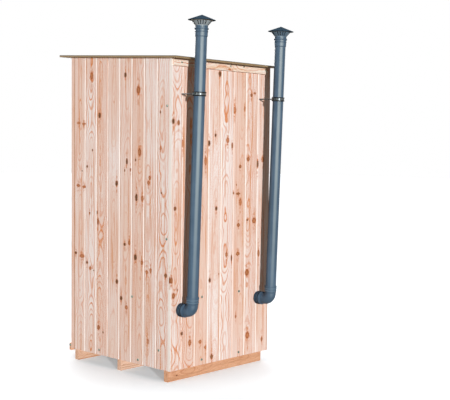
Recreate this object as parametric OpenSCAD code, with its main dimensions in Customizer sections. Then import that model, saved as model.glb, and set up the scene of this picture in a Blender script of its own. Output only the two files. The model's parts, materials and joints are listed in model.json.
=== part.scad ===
// Outdoor composting toilet: a boarded pine cabin on three skids. Inside are a bench,
// a seat over a pull-out bin, and behind the rear wall stand two leaning vent pipes.
// Millimetres. +Z is up, the door is at -Y and the vents are at +Y.
// The origin lies on the ground, in the middle of the cabin's plan.

/* [Cabin] */
// Outside width of the cabin, across the door
cab_w = 974; // [940:1:1100]
// Outside depth of the cabin, from the door face to the rear face
cab_d = 1038; // [1010:1:1200]
// Height of the boards of the rear wall
rear_wall_h = 2040; // [1980:1:2200]
// How much higher the front wall stands than the rear wall
roof_rise = 62; // [40:1:110]

/* [Skids and floor] */
// Height of the skids, which is the gap below the walls
skid_h = 73; // [60:1:110]
// Width of a skid
skid_w = 38; // [36:1:60]
// Rear skid's face, set in from the rear wall's face
rear_skid_in = 15; // [0:1:17]
// Front skid's face, set in from the front wall's face
front_skid_in = 51; // [40:1:53]
// How far the skids stick out past the right wall
skid_near_out = 4; // [0:1:20]
// How far the skids stop short of the left wall
skid_far_in = 51; // [0:1:90]
// Thickness of the floor boards
floor_t = 20; // [18:1:28]
// Cover width of a floor board
floor_board_w = 118; // [90:1:140]

/* [Wall boards] */
// Thickness of the tongued and grooved wall boards
clad_t = 16; // [14:1:20]
// Cover width of a wall board
board_w = 124.3; // [95:0.1:145]
// Width of the first board of the rear wall, at its right-hand corner
rear_first_w = 98.4; // [60:0.1:120]
// Depth of the bevel along each edge of a board
v_cut = 4.5; // [2:0.5:5]
// Thickness of a tongue
tongue_t = 5; // [4:0.5:6]
// Length of a tongue
tongue_l = 6; // [5:0.5:8]
// Open joint left between two boards
board_gap = 0.4; // [0.3:0.1:1]

/* [Frame timbers] */
// Depth of a frame timber, from the boards into the cabin
frame_t = 34; // [30:1:36]
// Width of a frame timber
frame_w = 45; // [40:1:60]
// Height of the middle rails above the ground
middle_rail_z = 1150; // [1000:5:1300]

/* [Door] */
// Width of a door jamb
jamb_w = 90; // [80:1:100]
// Thickness of the jambs and of the head
jamb_t = 32; // [30:1:36]
// Height of the door leaf's top below the top of the rear wall
door_drop = 123; // [117:1:180]
// Gap round the door leaf
door_gap = 3; // [3:0.5:5]
// Width of a door ledge and of a brace
ledge_w = 90; // [80:1:110]
// Thickness of a door ledge and of a brace
ledge_t = 22; // [18:1:25]
// Height of the threshold above the floor
threshold_h = 22; // [18:1:30]
// How far the door opens, in degrees
door_open = 110; // [90:5:120]

/* [Battens outside] */
// Height of the batten across the foot of the front wall
sill_h = 51; // [40:1:60]
// Thickness of the batten across the foot of the front wall
sill_t = 22; // [16:1:25]
// Height of the batten under the roof at the rear
batten_h = 49; // [40:1:60]
// Thickness of the batten under the roof at the rear
batten_t = 13; // [10:1:18]

/* [Roof] */
// Thickness of the roof panel
roof_t = 11; // [9:1:15]
// Thickness of the felt on the roof panel
felt_t = 3; // [2:0.5:4]
// Overhang of the roof at the front
roof_front = 123; // [60:1:160]
// Overhang of the roof at the rear
roof_rear = 48; // [30:1:60]
// Overhang of the roof at the sides
roof_side = 15; // [5:1:40]

/* [Bench and seat] */
// Depth of the bench, from the rear boards to its front face
bench_d = 513; // [505:1:540]
// Height of the bench top above the floor
bench_h = 452; // [440:1:480]
// Thickness of the bench top and of the bench front
bench_t = 18; // [15:1:21]
// Half width of the hole through the seat
seat_hole_r = 110; // [105:1:115]
// Half width of the seat ring
seat_r = 185; // [180:1:190]
// Straight length between the round ends of the seat
seat_straight = 60; // [40:1:70]
// Thickness of the seat ring
seat_t = 28; // [20:1:32]
// Thickness of the seat lid
lid_t = 16; // [12:1:20]
// How far the lid opens, in degrees
lid_open = 95; // [90:1:96]
// Thickness of the wall of the chute below the seat
chute_t = 3; // [2:0.5:4]

/* [Bin and drawer] */
// Outside radius of the bin at its rim
bin_r = 185; // [170:1:190]
// Outside radius of the bin at its foot
bin_foot_r = 160; // [140:1:165]
// Height of the bin
bin_h = 345; // [300:1:348]
// Thickness of the wall of the bin
bin_t = 3; // [2.5:0.5:4]
// Width of the drawer
drawer_w = 440; // [420:1:450]
// Thickness of the tray under the bin
tray_t = 15; // [12:1:16]
// How far the drawer pulls out
drawer_travel = 400; // [300:5:410]

/* [Vents] */
// Outside diameter of a vent pipe
pipe_od = 75; // [72:1:76]
// Thickness of the wall of a vent pipe
pipe_t = 2; // [1.8:0.1:2.6]
// Distance of the right-hand vent from the right wall's face
vent_right_in = 91; // [89:1:105]
// Distance of the left-hand vent from the left wall's face
vent_left_in = 115; // [89:1:125]
// Height of the vents where they come through the wall
vent_z = 472; // [465:1:475]
// Distance from the wall to the corner of the right-hand bend
vent_right_out = 110; // [108:1:125]
// Distance from the wall to the corner of the left-hand bend
vent_left_out = 123; // [108:1:125]
// Lean of the pipes away from the wall, in degrees
vent_lean = 2; // [1.5:0.5:2.5]
// Height of the pipes' top mouths above the rear wall
vent_above = 188; // [120:1:260]
// Height of the pipe clamps below the top of the rear wall
clamp_down = 233; // [180:1:320]
// Radius of the bend, along its middle
bend_r = 46; // [44:1:50]

/* [Vent hats] */
// Radius of the brim of a hat
hat_r = 88.5; // [80:0.5:95]
// Height of the cone of a hat
hat_h = 35; // [25:1:45]
// Height of the grille below the brim
grille_h = 34; // [30:1:40]
// Outside radius of the grille where it meets the brim
grille_r = 70; // [64:1:74]
// Width of a hole of the grille
grille_hole_w = 9.5; // [7:0.5:10]
// Height of a hole of the grille
grille_hole_h = 6; // [4:0.5:7]
// Rows of holes in the grille
grille_rows = 3; // [2:1:3]
// Holes in a row of one window of the grille
grille_cols = 4; // [2:1:4]

/* [Hidden] */
$fn = 96;

// Clearances: between flat pieces that move past each other, round a running pin,
// and round a still piece in its hole
slide_gap = 0.3;
pin_gap = 0.05;
fit_gap = 0.3;
// More than the largest piece is long, for cuts
far = 3000;
// How much narrower a screw's head is at its top
head_taper = 0.65;

// Levels and faces of the cabin
floor_z = skid_h + floor_t;
rear_top_z = skid_h + rear_wall_h;
front_y = -cab_d / 2;
rear_y = cab_d / 2;
side_x = cab_w / 2;
inner_x = side_x - clad_t;
inner_rear_y = rear_y - clad_t;
inner_front_y = front_y + jamb_t;
roof_angle = atan(roof_rise / cab_d);
front_top_z = rear_top_z + roof_rise;
rear_skid_y = rear_y - rear_skid_in - skid_w / 2;
front_skid_y = front_y + front_skid_in + skid_w / 2;
middle_skid_y = (rear_skid_y + front_skid_y) / 2;
// The narrowest board that is worth ripping; anything less stays on the last board
least_rip = 8;
tongue_gap = 0.4;

// Frame: the rear posts stand edge on, so the rear rails fit between them
post_x = inner_x - frame_t;
post_y = inner_rear_y - frame_w;
rail_rear_y = inner_rear_y - frame_t;
sill_drop = 7;
sill_z = floor_z + threshold_h - sill_h - sill_drop;
batten_in_left = 40;
batten_in_right = 6;
clamp_rail_w = 60;
// The upper rear rail stands where the clamp rods meet the wall
clamp_rail_z = rear_top_z - clamp_down;
purlin_count = 2;

// Door
opening_x = side_x - jamb_w;
door_w = 2 * (opening_x - door_gap);
door_z = floor_z + threshold_h + door_gap;
door_top_z = rear_top_z - door_drop;
door_h = door_top_z - door_z;
head_z = door_top_z + door_gap;
head_h = 67;
door_face_in = 2;
door_face_y = front_y + door_face_in;
door_back_y = door_face_y + clad_t;
ledge_back_y = door_back_y + ledge_t;
ledge_in = 27;
ledge_half = opening_x - ledge_in;
ledge_end_gap = 150;
ledge_z = [door_z + ledge_end_gap, door_z + door_h / 2, door_top_z - ledge_end_gap];
stop_w = 15;
door_first_w = (door_w - floor(door_w / board_w - 1) * board_w) / 2;

// Hinges
knuckle_r = 6;
hinge_pin_r = 3;
hinge_t = 2.5;
hinge_x = -opening_x + door_gap / 2;
knuckle_lift = 0.5;
hinge_y = front_y - knuckle_r - knuckle_lift;
knuckle_h = 28;
knuckle_gap = 0.4;
plate_h = 96;
plate_w = 46;
strap_l = 260;
strap_w = 34;
strap_tip_r = 9;
// The leaves leave the knuckle beside the pin, this far from the pin's centre
leaf_in = 0.8;
leaf_y = hinge_pin_r + leaf_in;
strap_root = 8;
plate_root = 4;
pin_end = 3;
pin_head_h = 3;
pin_head_r = hinge_pin_r + 2;
hinge_end_gap = 190;
hinge_mid_rise = 60;
hinge_z = [door_z + hinge_end_gap, door_z + door_h / 2 + hinge_mid_rise, door_top_z - hinge_end_gap];

// Pulls
pull_r = 6;
pull_l = 140;
pull_out = 38;
pull_foot_r = 13;
pull_foot_t = 4;
pull_corner = 14;
pull_in = 62;
pull_x = opening_x - pull_in;
pull_z = 1035;
inner_pull_x = 130;

// Turn latch outside
latch_w = 26;
latch_t = 14;
latch_down = 54;
latch_up = 12;
latch_x = opening_x + jamb_w / 2;
latch_z = 1150;
latch_screw_r = 2.5;
latch_head_r = 6;
latch_head_t = 4;
latch_screw_l = 36;

// Slide bolt inside
bolt_r = 5;
bolt_travel = 38;
bolt_z = ledge_z[1];
bolt_tip_in = 23;
bolt_tip_x = opening_x - bolt_tip_in;
bolt_l = 124;
bolt_plate_t = 2.5;
bolt_lift = 7.5;
bolt_axis_y = ledge_back_y + bolt_plate_t + bolt_lift;
saddle_w = 14;
saddle_half = 9;
saddle_end_in = 14;
saddle_start_in = 104;
saddle_end_x = bolt_tip_x - saddle_end_in;
saddle_start_x = bolt_tip_x - saddle_start_in;
knob_in = 76;
knob_x = bolt_tip_x - knob_in;
knob_r = 4;
knob_ball_r = 7;
knob_l = 20;
keeper_in = 5;
keeper_x = opening_x + keeper_in;
keeper_w = 16;
keeper_plate_w = 40;
keeper_bore_r = 5.6;
lock_plate_half = 18;

// Bench
bench_y = inner_rear_y - bench_d;
bench_z = floor_z + bench_h;
bench_under_z = bench_z - bench_t;
bench_nose = 10;
cleat_t = 22;
cleat_h = 45;
drawer_gap = 3;
drawer_open_h = 407;
drawer_open_z = floor_z + drawer_open_h;
hand_hole_r = 16;
hand_hole_l = 90;
hand_hole_drop = 50;

// Seat
seat_y = bench_y + seat_r + seat_straight / 2;
seat_bevel = 12;
lid_bevel = 7;
lid_over = 5;
buffer_h = 3;
buffer_r = 7;
lid_z = bench_z + seat_t + buffer_h;
chute_r = seat_hole_r + chute_t;
chute_drop = 80;
chute_taper = 5;
chute_lip = 12;
lid_pin_r = 4;
lid_pin_end = 4;
lid_ear_r = 9;
lid_ear_w = 20;
lid_ear_x = 84;
lid_ear_l = 60;
lid_ear_gap = 2;
lid_post_w = 20;
lid_hinge_gap = 14;
lid_hinge_y = seat_y + seat_straight / 2 + seat_r + lid_over + lid_hinge_gap;
lid_hinge_z = lid_z + lid_t / 2;

// Bin and drawer
tray_z = floor_z + slide_gap;
tray_w = drawer_w - 4;
tray_rear_gap = 31;
tray_d = bench_d - bench_t - frame_t - tray_rear_gap;
tray_sink = 4;
guide_w = 20;
guide_h = 35;
guide_gap = 1;
bin_z = tray_z + tray_t - tray_sink;
bin_rim_r = 5;
bin_rib_r = 3;
bin_ribs = 3;
bin_grip_w = 110;
bin_grip_out = 14;
bin_grip_h = 22;
bin_grip_t = 4;
bin_grip_drop = 34;
// How far the grip reaches inwards, to meet the sloping wall
bin_grip_root = 16;

// Vents: [place across, distance of the bend's corner from the wall]
vent_right_x = side_x - vent_right_in;
vent_left_x = vent_left_in - side_x;
VENT_RIGHT = [vent_right_x, vent_right_out];
VENT_LEFT = [vent_left_x, vent_left_out];
VENTS = [VENT_RIGHT, VENT_LEFT];
// Lengths along the leaning leg, from the corner of the bend
vent_rise = (rear_top_z + vent_above - vent_z) / cos(vent_lean);
clamp_rise = (clamp_rail_z - vent_z) / cos(vent_lean);
pipe_r = pipe_od / 2;
bore_r = pipe_r - pipe_t;
bend_turn = 90 - vent_lean;
bend_tangent = bend_r * tan(bend_turn / 2);
// The turn is moulded thicker than the pipe, and its spigots reach a little into it
bend_swell = 1;
bend_seam = 2;
socket_gap = 0.3;
socket_t = 2.4;
seal_w = 8;
seal_gap = 0.15;
// Sockets: [length, outside radius, bead's radius, bead's width]
wall_socket_l = 58;
bend_socket_l = 56;
pipe_socket_l = 60;
WALL_SOCKET = [wall_socket_l, pipe_r * 1.133, pipe_r * 1.227, 12];
BEND_SOCKET = [bend_socket_l, pipe_r * 1.072, pipe_r * 1.16, 11];
PIPE_SOCKET = [pipe_socket_l, pipe_r * 1.093, pipe_r * 1.24, 9];
socket_neck = 5;
socket_stop = 4;
// Least thickness of the shoulder below the round of a bead
bead_root = 1.5;
mouth_lip = 4;
wall_pipe_in = 70;
hat_spigot = 40;
hat_hub = 10;
hat_collar_r = PIPE_SOCKET[1];
hat_t = 2.5;
brim_t = 2;
grille_windows = 4;
grille_web_deg = 24;
grille_edge = 5;
grille_cut_depth = 14;
hat_seat_gap = 1;
band_t = 1.6;
band_h = 20;
liner_t = 3;
liner_h = 26;
liner_lip = 2;
clamp_ear = 13;
clamp_ear_t = 3;
clamp_split = 5;
clamp_screw_r = 2.5;
clamp_head_r = 4.5;
clamp_head_t = 3.5;
boss_r = 8;
boss_l = 12;
rod_r = 4;
rod_in_wall = 34;
rod_end_gap = 2.2;
rod_cut_l = 200;
clamp_screw_end = 4;

/* ---------- shared shapes ---------- */

// The space above the roof's underside, which trims every wall and post
module above_roof() {
    translate([0, rear_y, rear_top_z])
        rotate([-roof_angle, 0, 0])
            translate([-far / 2, -far / 2, 0])
                cube([far, far, far]);
}

// A slab that lies on the roof slope: from the rear wall's top, y_low to y_high along the slope
module on_slope(width, y_low, y_high, base, thick) {
    translate([0, rear_y, rear_top_z])
        rotate([-roof_angle, 0, 0])
            translate([-width / 2, y_low, base])
                cube([width, y_high - y_low, thick]);
}

// Where the joints between boards fall along a run of boards
function joints(width, first, cover) =
    let (full = floor((width - first - least_rip) / cover))
    concat([0], [for (k = [0 : full]) first + k * cover], [width]);

// Outline of one board from a to b: the face is at y = 0 and the back at y = t
function board_outline(a, b, t, bevel, is_first, is_last) =
    let (
        g = board_gap / 2,
        low = (t - tongue_t) / 2,
        high = (t + tongue_t) / 2,
        left = is_first ? [[a, 0], [a, t]] : [
            [a + g + bevel, 0], [a + g, bevel], [a + g, low], [a + g - tongue_l, low],
            [a + g - tongue_l, high], [a + g, high], [a + g, t]
        ],
        deep = tongue_l + tongue_gap,
        right = is_last ? [[b, t], [b, 0]] : [
            [b - g, t], [b - g, high + tongue_gap], [b - g - deep, high + tongue_gap],
            [b - g - deep, low - tongue_gap], [b - g, low - tongue_gap],
            [b - g, bevel], [b - g - bevel, 0]
        ]
    )
    concat(left, right);

// A run of upright tongued and grooved boards along X, face towards -Y
module board_run(width, height, t, first, cover, bevel) {
    j = joints(width, first, cover);
    last = len(j) - 2;
    for (k = [0 : last])
        linear_extrude(height)
            polygon(board_outline(j[k], j[k + 1], t, bevel, k == 0, k == last));
}

// A beam along X between two places
module beam_x(x0, x1, y, z, t, h) {
    translate([x0, y, z])
        cube([x1 - x0, t, h]);
}

// The same piece on the right and on the left
module both_sides() {
    children();
    mirror([1, 0, 0]) children();
}

// Sweeps a profile of radius and height round an outline with two round ends
module sweep_round_ends(straight) {
    for (turn = [0, 180])
        rotate([0, 0, turn]) {
            translate([0, straight / 2, 0])
                rotate_extrude(angle = 180)
                    children();
            rotate([90, 0, 0])
                linear_extrude(straight, center = true)
                    children();
        }
}

// A flat shape with two round ends, along Y
module slot_shape(r, straight) {
    square([2 * r, straight], center = true);
    for (s = [-1, 1])
        translate([0, s * straight / 2])
            circle(r);
}

/* ---------- skids and floor ---------- */

module skid(y) {
    beam_x(-side_x + skid_far_in, side_x + skid_near_out, y - skid_w / 2, 0, skid_w, skid_h);
}

module skid_front() {
    color("peru") skid(front_skid_y);
}

module skid_middle() {
    color("peru") skid(middle_skid_y);
}

module skid_rear() {
    color("peru") skid(rear_skid_y);
}

module floor_boards() {
    color("burlywood")
        translate([-inner_x, inner_front_y, floor_z])
            rotate([-90, 0, 0])
                board_run(2 * inner_x, inner_rear_y - inner_front_y, floor_t,
                    floor_board_w, floor_board_w, 0.5);
}

/* ---------- frame ---------- */

// Three rails at one height: right, left and rear
module rail_ring(z, h) {
    both_sides()
        translate([post_x, inner_front_y, z])
            cube([frame_t, post_y - inner_front_y, h]);
    beam_x(-post_x, post_x, rail_rear_y, z, frame_t, h);
}

module bottom_rails() {
    color("burlywood") rail_ring(floor_z, frame_w);
}

module corner_posts() {
    color("burlywood")
        difference() {
            both_sides()
                translate([post_x, post_y, floor_z])
                    cube([frame_t, frame_w, front_top_z - floor_z]);
            above_roof();
        }
}

module wall_rails() {
    color("burlywood")
        difference() {
            union() {
                rail_ring(middle_rail_z, frame_w);
                beam_x(-post_x, post_x, rail_rear_y, clamp_rail_z - clamp_rail_w / 2,
                    frame_t, clamp_rail_w);
            }
            clamp_rod_holes();
        }
}

module top_rails() {
    color("burlywood") {
        both_sides()
            intersection() {
                translate([inner_x - frame_t / 2, 0, 0])
                    on_slope(frame_t, -far / 2, far / 2, -frame_w, frame_w);
                translate([0, inner_front_y, 0])
                    cube([far, post_y - inner_front_y, far]);
            }
        difference() {
            union() {
                beam_x(-post_x, post_x, rail_rear_y, rear_top_z - frame_w, frame_t, 2 * frame_w);
                beam_x(-opening_x, opening_x, front_y + clad_t, front_top_z - 2 * frame_w,
                    jamb_t - clad_t, 2 * frame_w);
            }
            above_roof();
        }
    }
}

module roof_purlins() {
    step = (rail_rear_y - inner_front_y) / (purlin_count + 1);
    color("burlywood")
        for (k = [1 : purlin_count])
            intersection() {
                on_slope(2 * (inner_x - frame_t), -far / 2, far / 2, -frame_w, frame_w);
                translate([-far / 2, inner_front_y + k * step, 0])
                    cube([far, frame_t, far]);
            }
}

/* ---------- walls ---------- */

module rear_cladding() {
    color("bisque")
        difference() {
            translate([side_x, rear_y, skid_h])
                rotate([0, 0, 180])
                    board_run(cab_w, rear_wall_h + clad_t, clad_t, rear_first_w, board_w, v_cut);
            above_roof();
            for (v = VENTS)
                translate([v[0], rear_y, vent_z])
                    rotate([90, 0, 0])
                        cylinder(h = 4 * clad_t, r = pipe_r + fit_gap, center = true);
            clamp_rod_holes();
        }
}

module side_cladding_right() {
    color("tan")
        difference() {
            translate([side_x, inner_front_y, skid_h])
                rotate([0, 0, 90])
                    board_run(inner_rear_y - inner_front_y, front_top_z, clad_t, board_w, board_w, v_cut);
            above_roof();
        }
}

module side_cladding_left() {
    color("tan")
        difference() {
            translate([-side_x, inner_rear_y, skid_h])
                rotate([0, 0, -90])
                    board_run(inner_rear_y - inner_front_y, front_top_z, clad_t, board_w, board_w, v_cut);
            above_roof();
        }
}

module front_boards() {
    color("bisque")
        difference() {
            translate([-opening_x, front_y, head_z + head_h])
                board_run(2 * opening_x, front_top_z, clad_t, board_w, board_w, v_cut);
            above_roof();
        }
}

module door_jambs() {
    color("bisque")
        difference() {
            both_sides()
                translate([opening_x, front_y, skid_h])
                    cube([jamb_w, jamb_t, front_top_z]);
            above_roof();
            translate([latch_x, front_y - 1, latch_z])
                rotate([-90, 0, 0])
                    cylinder(h = jamb_t, r = latch_screw_r + pin_gap);
        }
}

module door_head() {
    color("bisque")
        beam_x(-opening_x, opening_x, front_y, head_z, jamb_t, head_h);
}

module threshold() {
    color("peru")
        beam_x(-opening_x, opening_x, front_y, skid_h, jamb_t, floor_t + threshold_h);
}

module front_sill() {
    color("peru")
        beam_x(-side_x, side_x, front_y - sill_t, sill_z, sill_t, sill_h);
}

// Battens on the jambs and under the head that the door closes against
module door_stops() {
    stop_y = door_back_y + slide_gap;
    color("bisque") {
        both_sides()
            translate([opening_x - stop_w, stop_y, floor_z + threshold_h])
                cube([stop_w, inner_front_y - stop_y, head_z - floor_z - threshold_h]);
        beam_x(-opening_x + stop_w, opening_x - stop_w, stop_y, head_z - stop_w,
            inner_front_y - stop_y, stop_w);
    }
}

module rear_batten() {
    color("bisque")
        difference() {
            beam_x(-side_x + batten_in_left, side_x - batten_in_right, rear_y,
                rear_top_z - batten_h, batten_t, batten_h);
            above_roof();
        }
}

/* ---------- roof ---------- */

module roof_slab(base, thick) {
    on_slope(cab_w + 2 * roof_side, -(cab_d + roof_front) / cos(roof_angle),
        roof_rear / cos(roof_angle), base, thick);
}

module roof_panel() {
    color("saddlebrown") roof_slab(0, roof_t);
}

module roof_felt() {
    color("dimgray") roof_slab(roof_t, felt_t);
}

/* ---------- door ---------- */

module door_boards() {
    color("bisque")
        translate([-door_w / 2, door_face_y, door_z])
            board_run(door_w, door_h, clad_t, door_first_w, board_w, v_cut);
}

module door_ledges() {
    color("burlywood")
        for (z = ledge_z)
            beam_x(-ledge_half, ledge_half, door_back_y, z - ledge_w / 2, ledge_t, ledge_w);
}

// Two braces that rise from the hinge side, between the ledges
module door_braces() {
    color("burlywood")
        for (k = [0, 1]) {
            low = ledge_z[k] + ledge_w / 2;
            high = ledge_z[k + 1] - ledge_w / 2;
            translate([0, ledge_back_y, 0])
                rotate([90, 0, 0])
                    linear_extrude(ledge_t)
                        polygon([
                            [-ledge_half, low], [-ledge_half + ledge_w, low],
                            [ledge_half, high], [ledge_half - ledge_w, high]
                        ]);
        }
}

module hinge_knuckle(z0, h) {
    translate([hinge_x, hinge_y, z0])
        cylinder(h = h, r = knuckle_r);
}

module hinge_bores(r) {
    for (z = hinge_z)
        translate([hinge_x, hinge_y, z - plate_h])
            cylinder(h = 2 * plate_h, r = r);
}

// Straps on the door: a tapered leaf with a round tip, and the middle knuckle
module hinge_straps() {
    color("silver")
        difference() {
            for (z = hinge_z) {
                hinge_knuckle(z - knuckle_h / 2, knuckle_h);
                translate([hinge_x, hinge_y + leaf_y, z - knuckle_h / 2])
                    cube([knuckle_r + strap_root, door_face_y - hinge_y - leaf_y, knuckle_h]);
                translate([hinge_x, door_face_y, z])
                    rotate([90, 0, 0])
                        linear_extrude(hinge_t) {
                            polygon([
                                [knuckle_r, -strap_w / 2], [strap_l, -strap_tip_r],
                                [strap_l, strap_tip_r], [knuckle_r, strap_w / 2]
                            ]);
                            translate([strap_l, 0])
                                circle(strap_tip_r);
                        }
            }
            hinge_bores(hinge_pin_r + pin_gap);
        }
}

// Plates on the left jamb with an upper and a lower knuckle
module hinge_plates() {
    side_knuckle = (plate_h - knuckle_h) / 2 - knuckle_gap;
    color("silver")
        difference() {
            for (z = hinge_z) {
                for (z0 = [z - plate_h / 2, z + plate_h / 2 - side_knuckle]) {
                    hinge_knuckle(z0, side_knuckle);
                    translate([hinge_x - knuckle_r - plate_root, hinge_y + leaf_y, z0])
                        cube([knuckle_r + plate_root, front_y - hinge_y - leaf_y, side_knuckle]);
                }
                translate([hinge_x - knuckle_r - plate_w, front_y - hinge_t, z - plate_h / 2])
                    cube([plate_w, hinge_t, plate_h]);
            }
            hinge_bores(hinge_pin_r + pin_gap);
        }
}

module hinge_pins() {
    color("gray")
        for (z = hinge_z)
            translate([hinge_x, hinge_y, z - plate_h / 2 - pin_end]) {
                cylinder(h = plate_h + pin_end, r = hinge_pin_r);
                translate([0, 0, plate_h + pin_end])
                    cylinder(h = pin_head_h, r = pin_head_r);
            }
}

// A bow-shaped pull along Z, that stands out towards -Y from y = 0
module bow_pull() {
    half = pull_l / 2 - pull_r;
    for (s = [-1, 1])
        mirror([0, 0, (1 - s) / 2]) {
            translate([0, 0, half])
                rotate([90, 0, 0]) {
                    cylinder(h = pull_foot_t, r = pull_foot_r);
                    cylinder(h = pull_out - pull_corner, r = pull_r);
                }
            translate([0, -pull_out + pull_corner, half - pull_corner])
                rotate([0, 90, 0])
                    rotate([0, 0, 180])
                        rotate_extrude(angle = 90)
                            translate([pull_corner, 0])
                                circle(pull_r);
            translate([0, -pull_out, 0])
                cylinder(h = half - pull_corner, r = pull_r);
        }
}

module door_pulls() {
    color("silver") {
        translate([pull_x, door_face_y, pull_z])
            bow_pull();
        translate([inner_pull_x, ledge_back_y, ledge_z[1]])
            rotate([0, 90, 180])
                bow_pull();
    }
}

// A wooden turn button that hangs from its screw until it is turned across the door
module turn_latch() {
    color("peru")
        translate([latch_x, front_y - slide_gap, latch_z])
            rotate([90, 0, 0])
                linear_extrude(latch_t)
                    difference() {
                        union() {
                            translate([-latch_w / 2, -latch_down])
                                square([latch_w, latch_down + latch_up]);
                            for (y = [-latch_down, latch_up])
                                translate([0, y])
                                    circle(latch_w / 2);
                        }
                        circle(latch_screw_r + pin_gap);
                    }
}

module latch_screw() {
    color("silver")
        translate([latch_x, front_y - latch_t - 2 * slide_gap, latch_z]) {
            rotate([90, 0, 0])
                cylinder(h = latch_head_t, r1 = latch_head_r, r2 = latch_head_r * head_taper);
            rotate([-90, 0, 0])
                cylinder(h = latch_screw_l, r = latch_screw_r);
        }
}

module bolt_loop(x, w, base_y, bore) {
    difference() {
        translate([x, base_y, bolt_z - saddle_half])
            cube([w, bolt_axis_y + saddle_half - base_y, 2 * saddle_half]);
        translate([x - 1, bolt_axis_y, bolt_z])
            rotate([0, 90, 0])
                cylinder(h = w + 2, r = bore);
    }
}

module bolt_barrel() {
    color("silver") {
        translate([saddle_start_x, ledge_back_y, bolt_z - lock_plate_half])
            cube([saddle_end_x - saddle_start_x, bolt_plate_t, 2 * lock_plate_half]);
        for (x = [saddle_start_x, saddle_end_x - saddle_w])
            bolt_loop(x, saddle_w, ledge_back_y + bolt_plate_t, bolt_r + 2 * pin_gap);
    }
}

module bolt_rod() {
    color("gray") {
        translate([bolt_tip_x - bolt_l, bolt_axis_y, bolt_z])
            rotate([0, 90, 0])
                cylinder(h = bolt_l, r = bolt_r);
        translate([knob_x, bolt_axis_y, bolt_z]) {
            rotate([-90, 0, 0])
                cylinder(h = knob_l, r = knob_r);
            translate([0, knob_l, 0])
                sphere(knob_ball_r);
        }
    }
}

module bolt_keeper() {
    color("silver") {
        translate([keeper_x, inner_front_y, bolt_z - lock_plate_half])
            cube([keeper_plate_w, bolt_plate_t, 2 * lock_plate_half]);
        bolt_loop(keeper_x, keeper_w, inner_front_y + bolt_plate_t, keeper_bore_r);
    }
}

/* ---------- bench and seat ---------- */

module bench_front() {
    color("wheat")
        difference() {
            beam_x(-inner_x, inner_x, bench_y, floor_z, bench_t, bench_h - bench_t);
            translate([-drawer_w / 2 - drawer_gap, bench_y - 1, floor_z - 1])
                cube([drawer_w + 2 * drawer_gap, bench_t + 2, drawer_open_h + 1]);
            both_sides()
                translate([inner_x - frame_t - fit_gap, bench_y - 1, floor_z - 1])
                    cube([far, bench_t + 2, frame_w + 1 + fit_gap]);
        }
}

module bench_top() {
    color("wheat")
        difference() {
            beam_x(-inner_x, inner_x, bench_y - bench_nose, bench_under_z, bench_d + bench_nose, bench_t);
            both_sides()
                translate([post_x - fit_gap, post_y - fit_gap, bench_under_z - 1])
                    cube([far, far, bench_t + 2]);
            translate([0, seat_y, bench_under_z - 1])
                linear_extrude(bench_t + 2)
                    slot_shape(chute_r + fit_gap, seat_straight);
            translate([0, seat_y, bench_z - chute_t])
                linear_extrude(bench_t)
                    slot_shape(chute_r + chute_lip + fit_gap, seat_straight);
        }
}

// Battens that carry the bench top: along both side walls, and on the rear wall between the vents
module bench_cleats() {
    cleat_z = bench_under_z - cleat_h;
    cleat_y = bench_y + bench_t;
    vent_clear = pipe_r + 3 * drawer_gap;
    color("burlywood") {
        both_sides()
            translate([inner_x - cleat_t, cleat_y, cleat_z])
                cube([cleat_t, post_y - cleat_y, cleat_h]);
        beam_x(vent_left_x + vent_clear, vent_right_x - vent_clear, rail_rear_y, cleat_z,
            frame_t, cleat_h);
    }
}

// The collar that leads from the seat down into the bin
module drop_chute() {
    color("whitesmoke")
        translate([0, seat_y, bench_z])
            sweep_round_ends(seat_straight)
                polygon([
                    [seat_hole_r, 0], [chute_r + chute_lip, 0], [chute_r + chute_lip, -chute_t],
                    [chute_r, -chute_t], [chute_r, -bench_t],
                    [chute_r - chute_taper, -chute_drop], [seat_hole_r - chute_taper, -chute_drop]
                ]);
}

module seat_ring() {
    width = seat_r - seat_hole_r;
    color("ivory")
        translate([0, seat_y, bench_z])
            sweep_round_ends(seat_straight)
                translate([seat_hole_r, 0]) {
                    square([width, seat_t - seat_bevel]);
                    translate([seat_bevel, 0])
                        square([width - 2 * seat_bevel, seat_t]);
                    for (x = [seat_bevel, width - seat_bevel])
                        translate([x, seat_t - seat_bevel])
                            circle(seat_bevel);
                }
}

module seat_lid() {
    r = seat_r + lid_over;
    color("ivory")
        difference() {
            union() {
                translate([0, seat_y, lid_z])
                    sweep_round_ends(seat_straight) {
                        square([r, lid_t - lid_bevel]);
                        square([r - lid_bevel, lid_t]);
                        translate([r - lid_bevel, lid_t - lid_bevel])
                            intersection() {
                                circle(lid_bevel);
                                square(lid_bevel);
                            }
                    }
                both_sides()
                    translate([lid_ear_x, 0, lid_hinge_z]) {
                        translate([0, lid_hinge_y - lid_ear_l, -lid_t / 2])
                            cube([lid_ear_w, lid_ear_l, lid_t]);
                        translate([0, lid_hinge_y, 0])
                            rotate([0, 90, 0])
                                cylinder(h = lid_ear_w, r = lid_ear_r);
                    }
            }
            translate([0, lid_hinge_y, lid_hinge_z])
                rotate([0, 90, 0])
                    cylinder(h = far, r = lid_pin_r + pin_gap, center = true);
        }
}

module lid_buffers() {
    h = buffer_h - slide_gap;
    color("dimgray")
        both_sides()
            for (s = [-1, 1])
                translate([(seat_hole_r + seat_r) / 2, seat_y + s * seat_straight / 2, lid_z - h])
                    cylinder(h = h, r = buffer_r);
}

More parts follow.
